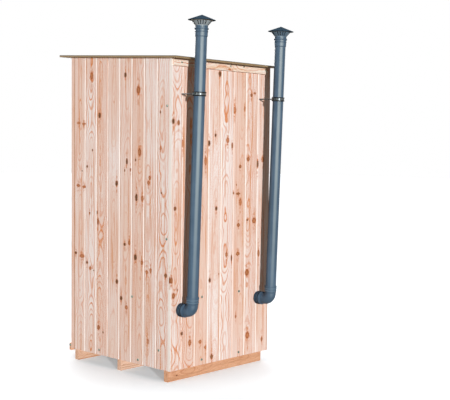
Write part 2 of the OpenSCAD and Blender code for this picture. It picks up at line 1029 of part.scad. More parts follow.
module lid_hinge_posts() {
    color("ivory")
        both_sides()
            difference() {
                translate([lid_ear_x - lid_ear_gap - lid_post_w, lid_hinge_y, 0]) {
                    translate([0, -lid_ear_r, bench_z])
                        cube([lid_post_w, 2 * lid_ear_r, lid_hinge_z - bench_z]);
                    translate([0, 0, lid_hinge_z])
                        rotate([0, 90, 0])
                            cylinder(h = lid_post_w, r = lid_ear_r);
                }
                translate([0, lid_hinge_y, lid_hinge_z])
                    rotate([0, 90, 0])
                        cylinder(h = far, r = lid_pin_r + pin_gap, center = true);
            }
}

module lid_hinge_pin() {
    reach = lid_ear_x + lid_ear_w + lid_pin_end;
    color("silver")
        translate([-reach, lid_hinge_y, lid_hinge_z])
            rotate([0, 90, 0])
                cylinder(h = 2 * reach, r = lid_pin_r);
}

/* ---------- drawer and bin ---------- */

module drawer_guides() {
    color("burlywood")
        both_sides()
            translate([tray_w / 2 + guide_gap, bench_y + bench_t, floor_z])
                cube([guide_w, rail_rear_y - bench_y - bench_t, guide_h]);
}

module drawer_front() {
    color("wheat")
        difference() {
            beam_x(-drawer_w / 2, drawer_w / 2, bench_y, floor_z + drawer_gap, bench_t,
                drawer_open_h - 2 * drawer_gap);
            translate([0, bench_y + bench_t / 2, drawer_open_z - hand_hole_drop])
                rotate([90, 90, 0])
                    linear_extrude(2 * bench_t, center = true)
                        slot_shape(hand_hole_r, hand_hole_l);
        }
}

module drawer_tray() {
    color("wheat")
        difference() {
            beam_x(-tray_w / 2, tray_w / 2, bench_y + bench_t, tray_z, tray_d, tray_t);
            translate([0, seat_y, bin_z])
                cylinder(h = tray_t, r = bin_foot_r + fit_gap);
        }
}

// Half section of the bin's wall, from its foot to its rolled rim
module bin_section() {
    rise = bin_h - bin_rim_r;
    polygon([
        [0, 0], [bin_foot_r, 0], [bin_r, rise], [bin_r - bin_t, rise],
        [bin_foot_r - bin_t, bin_t], [0, bin_t]
    ]);
    translate([bin_r, rise])
        circle(bin_rim_r);
    for (k = [1 : bin_ribs])
        translate([bin_foot_r + (bin_r - bin_foot_r) * k / (bin_ribs + 1), rise * k / (bin_ribs + 1)])
            intersection() {
                circle(bin_rib_r);
                translate([-bin_t / 2, -bin_rib_r])
                    square(2 * bin_rib_r);
            }
}

// The bin, with a moulded grip under the rim at each side
module compost_bin() {
    grip_z = bin_h - bin_grip_drop;
    wall_x = bin_r - bin_t;
    pocket_x = bin_grip_out - 2 * bin_grip_t;
    pocket_y = bin_grip_w - 2 * bin_grip_t;
    color("darkolivegreen")
        translate([0, seat_y, bin_z]) {
            rotate_extrude()
                bin_section();
            both_sides()
                difference() {
                    translate([wall_x - bin_grip_root, -bin_grip_w / 2, grip_z])
                        cube([bin_grip_root + bin_grip_out, bin_grip_w, bin_grip_h]);
                    translate([wall_x + bin_grip_t, -bin_grip_w / 2 + bin_grip_t, grip_z - 1])
                        cube([pocket_x, pocket_y, bin_grip_h - bin_grip_t]);
                    cylinder(h = bin_h, r1 = bin_foot_r - bin_t, r2 = wall_x);
                }
        }
}

/* ---------- vents ---------- */

// Puts a piece on a vent's level leg: its Z runs outwards from the wall's face
module on_level_leg(v) {
    translate([v[0], rear_y, vent_z])
        rotate([-90, 0, 0])
            children();
}

// Puts a piece on a vent's leaning leg: its Z runs up the pipe from the bend's corner
module on_leaning_leg(v) {
    translate([v[0], rear_y + v[1], vent_z])
        rotate([-vent_lean, 0, 0])
            children();
}

// Section of a socket that starts at height 0, where it meets its pipe
module socket_section(s) {
    length = s[0];
    body_r = s[1];
    bead_r = s[2];
    bead_h = s[3];
    bead_z = length - mouth_lip - bead_h / 2;
    difference() {
        union() {
            polygon([
                [bore_r, 0], [pipe_r, 0], [body_r, socket_neck], [body_r, length], [bore_r, length]
            ]);
            translate([body_r, bead_z - bead_h / 2])
                square([bead_r - body_r - bead_root, bead_h]);
            translate([bead_r - bead_h / 2, bead_z])
                intersection() {
                    circle(bead_h / 2);
                    translate([0, -bead_h / 2])
                        square(bead_h);
                }
        }
        translate([bore_r - 1, socket_stop])
            square([pipe_r + socket_gap - bore_r + 1, length]);
        translate([0, bead_z - seal_w / 2])
            square([bead_r - socket_t, seal_w]);
    }
}

// The rubber ring that lies in a socket's bead
module socket_seal(s) {
    bead_z = s[0] - mouth_lip - s[3] / 2;
    rotate_extrude()
        translate([pipe_r + seal_gap, bead_z - seal_w / 2 + seal_gap])
            square([s[2] - socket_t - pipe_r - 2 * seal_gap, seal_w - 2 * seal_gap]);
}

module tube(z0, z1) {
    rotate_extrude()
        translate([bore_r, z0])
            square([pipe_t, z1 - z0]);
}

// A short pipe through the rear wall, with its socket against the boards
module wall_socket(v) {
    on_level_leg(v) {
        tube(-clad_t - wall_pipe_in, fit_gap);
        translate([0, 0, fit_gap])
            rotate_extrude()
                socket_section(WALL_SOCKET);
    }
}

// The turn of a bend, from level to leaning
module elbow(v, r) {
    translate([v[0], rear_y + v[1] - bend_tangent, vent_z + bend_r])
        rotate([90, 0, 90])
            rotate([0, 0, -90])
                rotate_extrude(angle = bend_turn)
                    translate([bend_r, 0])
                        circle(r);
}

// The bend: a level spigot, the swollen turn, and a socket on the leaning leg
module vent_bend(v) {
    on_level_leg(v)
        tube(fit_gap + socket_stop + socket_gap, v[1] - bend_tangent + bend_seam);
    difference() {
        elbow(v, pipe_r + bend_swell);
        elbow(v, bore_r + bend_swell / 2);
    }
    on_leaning_leg(v)
        translate([0, 0, bend_tangent]) {
            tube(-bend_seam, bend_seam);
            rotate_extrude()
                socket_section(BEND_SOCKET);
        }
}

// The pipe, cut to length, with its own socket at the top
module vent_pipe(v) {
    on_leaning_leg(v) {
        tube(bend_tangent + socket_stop + socket_gap, vent_rise - pipe_socket_l);
        translate([0, 0, vent_rise - pipe_socket_l])
            rotate_extrude()
                socket_section(PIPE_SOCKET);
    }
}

// Half section of a hat without its holes: spigot, collar, flared grille and thin cone
module hat_section() {
    brim_z = hat_hub + grille_h;
    slope = (hat_h - brim_t) / hat_r;
    neck_r = grille_r - hat_t;
    polygon([
        [bore_r, -hat_spigot], [pipe_r, -hat_spigot], [pipe_r, 0], [hat_collar_r, 0],
        [hat_collar_r, hat_hub], [grille_r, brim_z],
        [grille_r, brim_z + slope * (hat_r - grille_r)], [hat_r, brim_z], [hat_r, brim_z + brim_t],
        [0, brim_z + hat_h], [0, brim_z + hat_h - brim_t],
        [neck_r, brim_z + slope * (hat_r - neck_r)], [neck_r, brim_z],
        [hat_collar_r - hat_t, hat_hub], [bore_r, hat_hub - hat_t]
    ]);
}

// A rain hat over a flared grille with rows of square holes between plain webs
module vent_hat(v) {
    quarter = 360 / grille_windows;
    hole_deg = (quarter - grille_web_deg) / grille_cols;
    row_step = (grille_h - 2 * grille_edge) / grille_rows;
    flare = (grille_r - hat_collar_r) / grille_h;
    on_leaning_leg(v)
        translate([0, 0, vent_rise + hat_seat_gap])
            difference() {
                rotate_extrude()
                    hat_section();
                for (w = [0 : grille_windows - 1], c = [0 : grille_cols - 1], r = [0 : grille_rows - 1]) {
                    z = grille_edge + row_step * (r + 0.5);
                    rotate([0, 0, quarter * (w + 0.5) + hole_deg * (c + 0.5 - grille_cols / 2)])
                        translate([hat_collar_r + flare * z, 0, hat_hub + z])
                            cube([grille_cut_depth, grille_hole_w, grille_hole_h], center = true);
                }
            }
}

/* ---------- pipe clamps ---------- */

module at_clamp(v) {
    on_leaning_leg(v)
        translate([0, 0, clamp_rise])
            children();
}

// Holes through the rear boards and the rail behind them for the clamps' rods
module clamp_rod_holes() {
    for (v = VENTS)
        at_clamp(v)
            rotate([90, 0, 0])
                cylinder(h = 2 * v[1] + rod_in_wall + rod_cut_l, r = rod_r + fit_gap);
}

// Two half bands with ears at both sides, and a boss for the rod on the wall side
module clamp_band(v) {
    inner = pipe_r + liner_t + fit_gap / 2;
    outer = inner + band_t;
    at_clamp(v)
        difference() {
            union() {
                cylinder(h = band_h, r = outer, center = true);
                for (s = [-1, 1])
                    translate([s * (outer + clamp_ear / 2 - 1), 0, 0])
                        cube([clamp_ear, clamp_split + 2 * clamp_ear_t, band_h], center = true);
                rotate([90, 0, 0])
                    cylinder(h = outer + boss_l, r = boss_r);
            }
            cylinder(h = 2 * band_h, r = inner, center = true);
            cube([far, clamp_split, 2 * band_h], center = true);
            for (s = [-1, 1])
                translate([s * (outer + clamp_ear / 2), 0, 0])
                    rotate([90, 0, 0])
                        cylinder(h = band_h * 2, r = clamp_screw_r + pin_gap, center = true);
            translate([0, fit_gap - outer - rod_end_gap, 0])
                rotate([90, 0, 0])
                    cylinder(h = boss_l, r = rod_r + pin_gap);
        }
}

module clamp_bands() {
    color("silver")
        for (v = VENTS)
            clamp_band(v);
}

module clamp_liners() {
    inner = pipe_r + fit_gap / 2;
    outer = pipe_r + liner_t;
    lip_h = (liner_h - band_h - fit_gap) / 2;
    color("black")
        for (v = VENTS)
            at_clamp(v)
                rotate_extrude() {
                    translate([inner, -liner_h / 2])
                        square([outer - inner, liner_h]);
                    for (z = [-liner_h / 2, liner_h / 2 - lip_h])
                        translate([inner, z])
                            square([outer - inner + liner_lip, lip_h]);
                }
}

module clamp_rods() {
    outer = pipe_r + liner_t + fit_gap / 2 + band_t;
    color("silver")
        for (v = VENTS)
            at_clamp(v)
                translate([0, -outer - rod_end_gap, 0])
                    rotate([90, 0, 0])
                        cylinder(h = v[1] + clamp_rise * sin(vent_lean) - outer + rod_in_wall, r = rod_r);
}

module clamp_screws() {
    outer = pipe_r + liner_t + fit_gap / 2 + band_t;
    half = clamp_split / 2 + clamp_ear_t;
    color("silver")
        for (v = VENTS, s = [-1, 1])
            at_clamp(v)
                translate([s * (outer + clamp_ear / 2), 0, 0]) {
                    translate([0, half, 0])
                        rotate([-90, 0, 0])
                            cylinder(h = clamp_head_t, r1 = clamp_head_r, r2 = clamp_head_r * head_taper);
                    rotate([90, 0, 0])
                        cylinder(h = 2 * half + clamp_screw_end, r = clamp_screw_r, center = true);
                    translate([0, -half, 0])
                        rotate([90, 0, 0])
                            cylinder(h = clamp_head_t, r = clamp_head_r, $fn = 6);
                }
}

module socket_seals() {
    color("black")
        for (v = VENTS) {
            on_level_leg(v)
                translate([0, 0, fit_gap])
                    socket_seal(WALL_SOCKET);
            on_leaning_leg(v) {
                translate([0, 0, bend_tangent])
                    socket_seal(BEND_SOCKET);
                translate([0, 0, vent_rise - pipe_socket_l])
                    socket_seal(PIPE_SOCKET);
            }
        }
}

/* ---------- one line for each piece ---------- */

skid_front();
skid_middle();
skid_rear();
floor_boards();
bottom_rails();
corner_posts();
wall_rails();
top_rails();
door_jambs();
door_head();
threshold();
front_sill();
door_stops();
rear_cladding();
side_cladding_right();
side_cladding_left();
front_boards();
rear_batten();
roof_purlins();
roof_panel();
roof_felt();
door_boards();
door_ledges();
door_braces();
hinge_straps();
hinge_plates();
hinge_pins();
door_pulls();
turn_latch();
latch_screw();
bolt_barrel();
bolt_rod();
bolt_keeper();
bench_front();
bench_top();
bench_cleats();
drop_chute();
seat_ring();
seat_lid();
lid_buffers();
lid_hinge_posts();
lid_hinge_pin();
drawer_guides();
drawer_front();
drawer_tray();
compost_bin();
color("slategray") wall_socket(VENT_RIGHT);  // wall_socket_right
color("slategray") wall_socket(VENT_LEFT);  // wall_socket_left
color("slategray") vent_bend(VENT_RIGHT);  // vent_bend_right
color("slategray") vent_bend(VENT_LEFT);  // vent_bend_left
color("slategray") vent_pipe(VENT_RIGHT);  // vent_pipe_right
color("slategray") vent_pipe(VENT_LEFT);  // vent_pipe_left
color("slategray") vent_hat(VENT_RIGHT);  // vent_hat_right
color("slategray") vent_hat(VENT_LEFT);  // vent_hat_left
clamp_bands();
clamp_liners();
clamp_rods();
clamp_screws();
socket_seals();
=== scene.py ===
"""Looks of an outdoor composting toilet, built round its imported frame.

A boarded pine cabin on three skids holds a bench with a seat over a pull-out bin.
Two grey vent pipes stand behind its rear wall. Lengths are metres, +Z is up, the
door is at -Y and the vents are at +Y.
"""

import json
import logging
import math
import random
from dataclasses import dataclass
from enum import Enum
from typing import Iterable, Optional, Sequence, Union

import bmesh
import bpy
import numpy as np
from mathutils import Matrix, Vector

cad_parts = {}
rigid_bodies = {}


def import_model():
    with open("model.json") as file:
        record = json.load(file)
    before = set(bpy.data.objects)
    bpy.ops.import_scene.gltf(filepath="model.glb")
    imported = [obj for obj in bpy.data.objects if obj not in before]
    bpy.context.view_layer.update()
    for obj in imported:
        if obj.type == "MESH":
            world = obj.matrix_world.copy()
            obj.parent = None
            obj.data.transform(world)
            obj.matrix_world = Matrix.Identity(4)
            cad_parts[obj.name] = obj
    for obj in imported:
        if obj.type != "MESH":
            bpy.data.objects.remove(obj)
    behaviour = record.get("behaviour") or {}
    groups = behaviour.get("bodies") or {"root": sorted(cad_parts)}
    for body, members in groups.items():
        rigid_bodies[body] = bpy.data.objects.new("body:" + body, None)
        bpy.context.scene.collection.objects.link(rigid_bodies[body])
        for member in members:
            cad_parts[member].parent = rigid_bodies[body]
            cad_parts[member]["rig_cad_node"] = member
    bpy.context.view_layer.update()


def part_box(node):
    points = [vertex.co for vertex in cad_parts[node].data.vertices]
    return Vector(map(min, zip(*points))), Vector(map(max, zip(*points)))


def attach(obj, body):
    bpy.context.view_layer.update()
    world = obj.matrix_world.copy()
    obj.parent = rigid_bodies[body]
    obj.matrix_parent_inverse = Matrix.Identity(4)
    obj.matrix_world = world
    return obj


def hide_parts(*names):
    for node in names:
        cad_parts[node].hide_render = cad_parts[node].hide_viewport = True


LOG = logging.getLogger("composting_toilet")
MM = 0.001

# Faces of the cabin's walls and of its door, and the heights of its hinges, in metres
SIDE_X = 0.487
REAR_Y = 0.519
FRONT_Y = -0.519
DOOR_Y = -0.517
HINGE_Z = (0.308, 1.114, 1.800)
# How far the roof falls for each metre towards the rear
ROOF_FALL = 62 / 1038

# Vents: place across, and distance of the bend's corner from the wall
VENT_Z = 0.472
VENT_LEAN = math.radians(2)
VENTS = {"right": (0.396, 0.110), "left": (-0.372, 0.123)}
PIPE_R = 0.0375
BORE_R = 0.0355
# Heights along a vent's leaning leg, from the bend's corner
BEND_SOCKET_AT = 0.0444
CLAMP_AT = 1.4089
HAT_AT = 1.8311
# The side of the pipes that faces the key lamp, behind the cabin and to its right: a highlight is painted
# there, and shade on the sides away from it
SUNNY = (0.588, 0.809, 0.0)

# An edge that turns further than this is eased on a fitting and stays sharp on a turned ring
SHARP = math.radians(32)
# A place so far off that no knot and no planed edge shows there
FAR = 9.0
# How far from a knot's side a face may lie and still show its tails, in metres
KNOT_REACH = 0.09

# Links of a node: by the input's name or index, or in the order of the inputs that it shows
Links = Union[dict, Sequence]


# ---------------------------------------------------------------- small helpers


def linear(colour: str) -> tuple[float, float, float, float]:
    """Turns an sRGB hex colour into the linear colour that a shader takes.

    Args:
        colour: Six hex digits after a hash.

    Returns:
        Linear red, green and blue, and an alpha of 1.
    """
    parts = [int(colour[i : i + 2], 16) / 255 for i in (1, 3, 5)]
    line = [c / 12.92 if c <= 0.04045 else ((c + 0.055) / 1.055) ** 2.4 for c in parts]
    return (line[0], line[1], line[2], 1.0)


def connect(tree: bpy.types.NodeTree, node: bpy.types.Node, links: Links) -> None:
    """Links or sets a node's inputs.

    Args:
        tree: The shader or geometry tree.
        node: The node.
        links: Values, outputs, nodes or (node, output) pairs. A node gives the first output that it shows.
    """
    named = isinstance(links, dict)
    shown = [s for s in node.inputs if s.enabled]
    for key, value in links.items() if named else enumerate(links):
        socket = node.inputs[key] if named else shown[key]
        if isinstance(value, tuple) and isinstance(value[0], bpy.types.Node):
            value = value[0].outputs[value[1]]
        elif isinstance(value, bpy.types.Node):
            value = next(s for s in value.outputs if s.enabled)
        if isinstance(value, bpy.types.NodeSocket):
            tree.links.new(value, socket)
        else:
            socket.default_value = value


def add(tree: bpy.types.NodeTree, kind: str, links: Links = (), stops: Sequence[tuple[float, str]] = (),
        **settings: object) -> bpy.types.Node:
    """Adds one node with its settings and links.

    Args:
        tree: The shader or geometry tree.
        kind: The node's type. A plain word is a shader node.
        links: What its inputs take.
        stops: Place and hex colour of each stop, on a colour ramp.
        **settings: Properties of the node.

    Returns:
        The node.
    """
    made = tree.nodes.new(kind if "Node" in kind else "ShaderNode" + kind)
    for name, value in settings.items():
        setattr(made, name, value)
    connect(tree, made, links)
    for i, (place, colour) in enumerate(stops):
        if i > 1:
            made.color_ramp.elements.new(place)
        made.color_ramp.elements[i].position = place
        made.color_ramp.elements[i].color = linear(colour)
    return made


def new_material(name: str) -> tuple[bpy.types.Material, bpy.types.NodeTree, bpy.types.Node]:
    """Starts a material.

    Args:
        name: The real material's name.

    Returns:
        The material, its tree and its surface shader.
    """
    made = bpy.data.materials.new(name)
    made.use_nodes = True
    return made, made.node_tree, made.node_tree.nodes["Principled BSDF"]


def link(name: str, mesh: bpy.types.Mesh) -> bpy.types.Object:
    """Puts a mesh into the scene as an object at the origin.

    Args:
        name: The piece's name.
        mesh: Its mesh, in the frame's own place.

    Returns:
        The object.
    """
    made = bpy.data.objects.new(name, mesh)
    bpy.context.scene.collection.objects.link(made)
    return made


def read(rows: Sequence, name: str, width: int = 1, kind: type = np.int64) -> np.ndarray:
    """Reads one property of every vertex, edge, face or corner.

    Args:
        rows: The mesh's vertices, edges, polygons or loops.
        name: The property.
        width: How many numbers it has.
        kind: The type of its numbers.

    Returns:
        One number or one row each.
    """
    out = np.zeros(len(rows) * width, kind)
    rows.foreach_get(name, out)
    return out.reshape(-1, width) if width > 1 else out


def write(mesh: bpy.types.Mesh, name: str, domain: str, values: Sequence) -> None:
    """Writes one attribute onto a mesh.

    Args:
        mesh: The mesh.
        name: The attribute's name.
        domain: POINT or CORNER.
        values: A number, a row of three or a row of four each.
    """
    table = np.asarray(values, np.float32)
    width = table.shape[1] if table.ndim > 1 else 1
    kind, key = {1: ("FLOAT", "value"), 3: ("FLOAT_VECTOR", "vector"), 4: ("FLOAT_COLOR", "color")}[width]
    mesh.attributes.new(name, kind, domain).data.foreach_set(key, table.ravel())


def merged(node: str, gap: float, flat: float) -> bmesh.types.BMesh:
    """Copies a node's mesh, with its loose triangles merged into whole faces.

    Args:
        node: The CAD node.
        gap: How far apart points are merged.
        flat: The turn below which faces are merged, in degrees.

    Returns:
        The copy.
    """
    bm = bmesh.new()
    bm.from_mesh(next(o for o in bpy.data.objects if o.get("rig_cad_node") == node).data)
    bmesh.ops.remove_doubles(bm, verts=bm.verts, dist=gap)
    bmesh.ops.dissolve_limit(bm, angle_limit=math.radians(flat), verts=bm.verts, edges=bm.edges)
    return bm


def settled(bm: bmesh.types.BMesh, name: str) -> bpy.types.Mesh:
    """Turns a merged copy into a mesh, without its old normals and finish.

    Args:
        bm: The copy, which is freed.
        name: The mesh's name.

    Returns:
        The mesh.
    """
    mesh = bpy.data.meshes.new(name)
    bm.to_mesh(mesh)
    bm.free()
    for layer in [a for a in mesh.attributes if a.name.startswith("custom_normal")]:
        mesh.attributes.remove(layer)
    mesh.materials.clear()
    return mesh


def shade(mesh: bpy.types.Mesh, smooth: bool) -> None:
    """Shades every face of a mesh smooth or flat. Its sharp edges stay."""
    mesh.polygons.foreach_set("use_smooth", [smooth] * len(mesh.polygons))


def hand_over(made: bpy.types.Object, body: str, slot: str, node: str = "") -> bpy.types.Object:
    """Says what a finished piece rides on and stands for.

    Args:
        made: The piece.
        body: Its body.
        slot: The record's slot of its finish, which is not used.
        node: The CAD node that it stands for, if any.

    Returns:
        The piece.
    """
    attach(made, body)
    if node:
        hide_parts(node)
    LOG.info("%s: %d faces on %s", made.name, len(made.data.polygons), body)
    return made


def baked(obj: bpy.types.Object) -> bpy.types.Object:
    """Turns an object's modifiers into plain mesh.

    Args:
        obj: The object with modifiers.

    Returns:
        The same object with a plain mesh.
    """
    graph = bpy.context.evaluated_depsgraph_get()
    mesh = bpy.data.meshes.new_from_object(obj.evaluated_get(graph))
    mesh.name = obj.name
    obj.modifiers.clear()
    obj.data = mesh
    return obj


def islands_of(mesh: bpy.types.Mesh) -> np.ndarray:
    """Numbers the separate pieces of a mesh.

    Args:
        mesh: The mesh.

    Returns:
        One number a vertex, from 0, in order of each piece's lowest vertex.
    """
    ends = read(mesh.edges, "vertices", 2)
    label = np.arange(len(mesh.vertices))
    while True:
        low = np.minimum(label[ends[:, 0]], label[ends[:, 1]])
        before = label.copy()
        np.minimum.at(label, ends[:, 0], low)
        np.minimum.at(label, ends[:, 1], low)
        label = label[label]
        if (label == before).all():
            break
    return np.unique(label, return_inverse=True)[1]


def grown(name: str, tree: bpy.types.NodeTree, values: dict[str, object],
          points: Optional[bpy.types.Mesh] = None) -> bpy.types.Object:
    """Runs a Geometry Nodes tree and keeps its result as a plain mesh.

    Args:
        name: The piece's name.
        tree: The tree.
        values: Value of each named input.
        points: The mesh that goes in, if the tree takes one.

    Returns:
        The object, with a plain mesh and no modifier.
    """
    made = link(name, points or bpy.data.meshes.new(name))
    modifier = made.modifiers.new("grown", "NODES")
    modifier.node_group = tree
    for item in tree.interface.items_tree:
        if item.item_type == "SOCKET" and item.in_out == "INPUT" and item.name in values:
            modifier[item.identifier] = values[item.name]
    return baked(made)


def geometry_tree(name: str, inputs: dict[str, str]) -> tuple[bpy.types.NodeTree, bpy.types.Node]:
    """Starts a Geometry Nodes tree with named inputs.

    Args:
        name: The tree's name.
        inputs: Socket type of each input, without NodeSocket before it.

    Returns:
        The tree and its input node.
    """
    tree = bpy.data.node_groups.new(name, "GeometryNodeTree")
    for label, kind in inputs.items():
        tree.interface.new_socket(label, in_out="INPUT", socket_type="NodeSocket" + kind)
    tree.interface.new_socket("Geometry", in_out="OUTPUT", socket_type="NodeSocketGeometry")
    return tree, add(tree, "NodeGroupInput")


def close_tree(t: bpy.types.NodeTree, start: bpy.types.Node, many: bpy.types.Node) -> bpy.types.NodeTree:
    """Ends a Geometry Nodes tree: its instances are made real and take the finish.

    Args:
        t: The tree.
        start: Its input node.
        many: The instances.

    Returns:
        The tree.
    """
    real = add(t, "GeometryNodeRealizeInstances", {0: many})
    last = add(t, "GeometryNodeSetMaterial", {"Geometry": real, "Material": (start, "Finish")})
    connect(t, t.nodes.new("NodeGroupOutput"), {0: last})
    return t


def leaning_leg(side: str, along: float) -> Matrix:
    """Gives the place on a vent's leaning leg at a height along it.

    Args:
        side: Which vent.
        along: Distance from the bend's corner, in metres.

    Returns:
        The place, whose Z runs up the pipe.
    """
    x, out = VENTS[side]
    corner = Matrix.Translation((x, REAR_Y + out, VENT_Z)) @ Matrix.Rotation(-VENT_LEAN, 4, "X")
    return corner @ Matrix.Translation((0, 0, along))


def level_leg(side: str, along: float) -> Matrix:
    """Gives the place on a vent's level leg.

    Args:
        side: Which vent.
        along: Distance from the rear wall's face, in metres.

    Returns:
        The place, whose Z runs away from the wall.
    """
    place = Matrix.Translation((VENTS[side][0], REAR_Y + along, VENT_Z))
    return place @ Matrix.Rotation(-math.pi / 2, 4, "X")


class Grain(Enum):
    """Which way a timber's grain runs."""

    LONGEST = -1
    ACROSS = 0
    DEEP = 1
    UPRIGHT = 2


@dataclass(frozen=True)
class Knot:
    """A knot: its place across and along the wall, its half sizes and how pale it is."""

    u: float
    z: float
    ru: float
    rz: float
    tone: float


def knots_from(rows: Iterable[tuple[int, int, int, int, float]]) -> list[Knot]:
    """Makes knots from rows of millimetres.

    Args:
        rows: Place across, height, half width, half height and paleness.

    Returns:
        The knots, in metres.
    """
    return [Knot(u * MM, z * MM, ru * MM, rz * MM, t) for u, z, ru, rz, t in rows]


# ------------------------------------------------------------------- finishes


@dataclass(frozen=True)
class PineFinish:
    """Planed or sawn pine: growth rings round the heart, heartwood, fibres and knots, with painted light
    along the bevels of boards.
    """

    name: str
    sap: str = "#fdf4f1"
    sap_warm: str = "#f3d9cd"
    heart: str = "#e9bd9f"
    late: str = "#dd7d28"
    streak: str = "#d98743"
    halo: str = "#cf7838"
    knot_pale: str = "#c4855a"
    halo_rim: str = "#9e4f20"
    knot_dark: str = "#3e3826"
    knot_rim: str = "#66391a"
    # Painted light on the bevels of boards: a shade colour along each board's low edge and a highlight colour
    # along its high edge, and their widths
    painted_shade_bevel: str = "#b9794b"
    planed: str = "#fffaf4"
    painted_highlight_width: float = 5.5 * MM
    painted_shade_width: float = 6.5 * MM
    ring: float = 8.5 * MM
    line: float = 1.2
    rough: float = 0.6
    bump: float = 0.2

    def build(self) -> bpy.types.Material:
        """Builds the material from each timber's own place, number and knots."""
        return WoodTree(self).build()


class WoodTree:
    """The nodes of one pine finish, with what its steps share."""

    def __init__(self, finish: PineFinish) -> None:
        """Starts the material and reads what the mesh says of each timber.

        Args:
            finish: The finish.
        """
        self.finish = finish
        self.made, self.t, self.surface = new_material(finish.name)
        t = self.t
        self.place, board, self.knot, self.span = (
            add(t, "Attribute", attribute_name=name) for name in ("timber", "board", "knot", "span"))
        self.xyz = add(t, "SeparateXYZ", [(self.place, "Vector")])
        # Three chances of the timber, and its own corner of the noise
        chance = add(t, "TexWhiteNoise", [(board, "Fac")], noise_dimensions="1D")
        self.luck = add(t, "SeparateXYZ", [(chance, "Color")])
        self.far = add(t, "VectorMath", [(chance, "Color"), (31.0, 57.0, 83.0)], operation="MULTIPLY")
        # Place from the knot in its own radii, with its radius, and the square of that distance
        self.k = add(t, "SeparateXYZ", [self.knot])
        across = add(t, "Math", [(self.k, "X"), (self.k, "X")], operation="MULTIPLY")
        self.away2 = add(t, "Math", [(self.k, "Y"), (self.k, "Y"), across], operation="MULTIPLY_ADD")
        self.wander = add(t, "SeparateXYZ", [(self.noise((2.0, 2.0, 2.0), 0.45), "Color")])

    def build(self) -> bpy.types.Material:
        """Joins the wood, the painted highlight and shade along its bevels, and its knots, with their bump
        and sheen.
        """
        t, rough = self.t, self.finish.rough
        years, late = self.growth()
        fibre = self.noise((700.0, 700.0, 12.0))
        height = add(t, "Math", [late, 0.6, fibre], operation="MULTIPLY_ADD")
        connect(t, self.surface, {
            "Base Color": self.knots(self.edges(self.clear_wood(years, late))),
            "Normal": add(t, "Bump", {"Height": height, "Strength": self.finish.bump, "Distance": 0.5 * MM}),
            "Roughness": add(t, "MapRange", [fibre, 0.3, 0.7, rough - 0.08, rough + 0.1]),
            "Specular IOR Level": 0.3})
        return self.made

    def noise(self, scale: tuple[float, float, float], rough: float = 0.6,
              detail: float = 3.0) -> bpy.types.Node:
        """Adds noise that is stretched along the grain and starts anew in each timber.

        Args:
            scale: Noise cells a metre across, deep and along.
            rough: How strong the finer octaves are.
            detail: How many octaves.

        Returns:
            The noise.
        """
        at = add(self.t, "VectorMath", [(self.place, "Vector"), scale, self.far], operation="MULTIPLY_ADD")
        return add(self.t, "TexNoise", [at, 1.0, detail, rough])

    def growth(self) -> tuple[bpy.types.Node, bpy.types.Node]:
        """Gives the distance from the tree's heart in years, and the latewood of each year."""
        t, luck, wander = self.t, self.luck, self.wander
        # A knot pushes the grain aside
        fall = add(t, "Math", [self.away2, -0.28], operation="MULTIPLY")
        fall = add(t, "Math", [fall], operation="EXPONENT")
        shove = add(t, "Math", [(self.k, "X"), (self.k, "Z")], operation="MULTIPLY")
        shove = add(t, "Math", [shove, fall], operation="MULTIPLY")
        # The heart wanders along the timber, near its face or far behind it
        heart_x = add(t, "Math", [(luck, "X"), 0.08, -0.055], operation="MULTIPLY_ADD")
        heart_x = add(t, "Math", [(wander, "X"), 0.024, heart_x], operation="MULTIPLY_ADD")
        across = add(t, "Math", [(self.xyz, "X"), shove], operation="SUBTRACT")
        across = add(t, "Math", [across, heart_x], operation="SUBTRACT")
        heart_y = add(t, "Math", [(luck, "Y"), -0.03, 0.05], operation="MULTIPLY_ADD")
        heart_y = add(t, "Math", [(wander, "Y"), -0.16, heart_y], operation="MULTIPLY_ADD")
        deep = add(t, "Math", [(self.xyz, "Y"), heart_y], operation="SUBTRACT")
        across2 = add(t, "Math", [across, across], operation="MULTIPLY")
        radius = add(t, "Math", [deep, deep, across2], operation="MULTIPLY_ADD")
        radius = add(t, "Math", [radius], operation="SQRT")
        years = add(t, "Math", [radius, self.finish.ring], operation="DIVIDE")
        years = add(t, "Math", [(wander, "Z"), 1.2, years], operation="MULTIPLY_ADD")
        # Each year darkens slowly to its latewood and ends at once
        part = add(t, "Math", [years], operation="FRACT")
        late = add(t, "ValToRGB", [part], [(0.0, "#282828"), (0.1, "#000000"), (0.6, "#303030"),
                                           (0.81, "#ffffff"), (0.94, "#ffffff"), (1.0, "#282828")])
        return years, late

    def clear_wood(self, years: bpy.types.Node, late: bpy.types.Node) -> bpy.types.Node:
        """Gives the colour of wood without knots.

        Args:
            years: The distance from the tree's heart.
            late: The latewood, from 0 to 1.

        Returns:
            The colour.
        """
        t, f = self.t, self.finish
        tint = add(t, "Math", [(self.luck, "Z"), (self.wander, "X")], operation="ADD")
        tint = add(t, "MapRange", [tint, 0.6, 1.35])
        wood = add(t, "Mix", [tint, linear(f.sap), linear(f.sap_warm)], data_type="RGBA")
        # Heartwood: the inner years are darker, with an edge that follows the rings
        core = add(t, "MapRange", [years, 9.0, 5.0, 0.0, 0.35], interpolation_type="SMOOTHSTEP")
        wood = add(t, "Mix", [core, wood, linear(f.heart)], data_type="RGBA")
        # Some years stand out more than others, and some patches of a board
        one = add(t, "TexNoise", [years, 0.9, 3.0, 0.7], noise_dimensions="1D")
        strong = add(t, "MapRange", [one, 0.38, 0.58, 0.25, 1.0])
        patch = add(t, "MapRange", [self.noise((9.0, 9.0, 2.5), 0.5, 2.0), 0.35, 0.62, 0.35, 1.0])
        # Flat-sawn boards show strong arches, the others faint straight lines
        flame = add(t, "MapRange", [(self.luck, "Y"), 0.35, 0.65, 0.4, 1.0])
        line = late
        for share in (strong, flame, patch, f.line):
            line = add(t, "Math", [line, share], operation="MULTIPLY")
        wood = add(t, "Mix", [line, wood, linear(f.late)], data_type="RGBA")
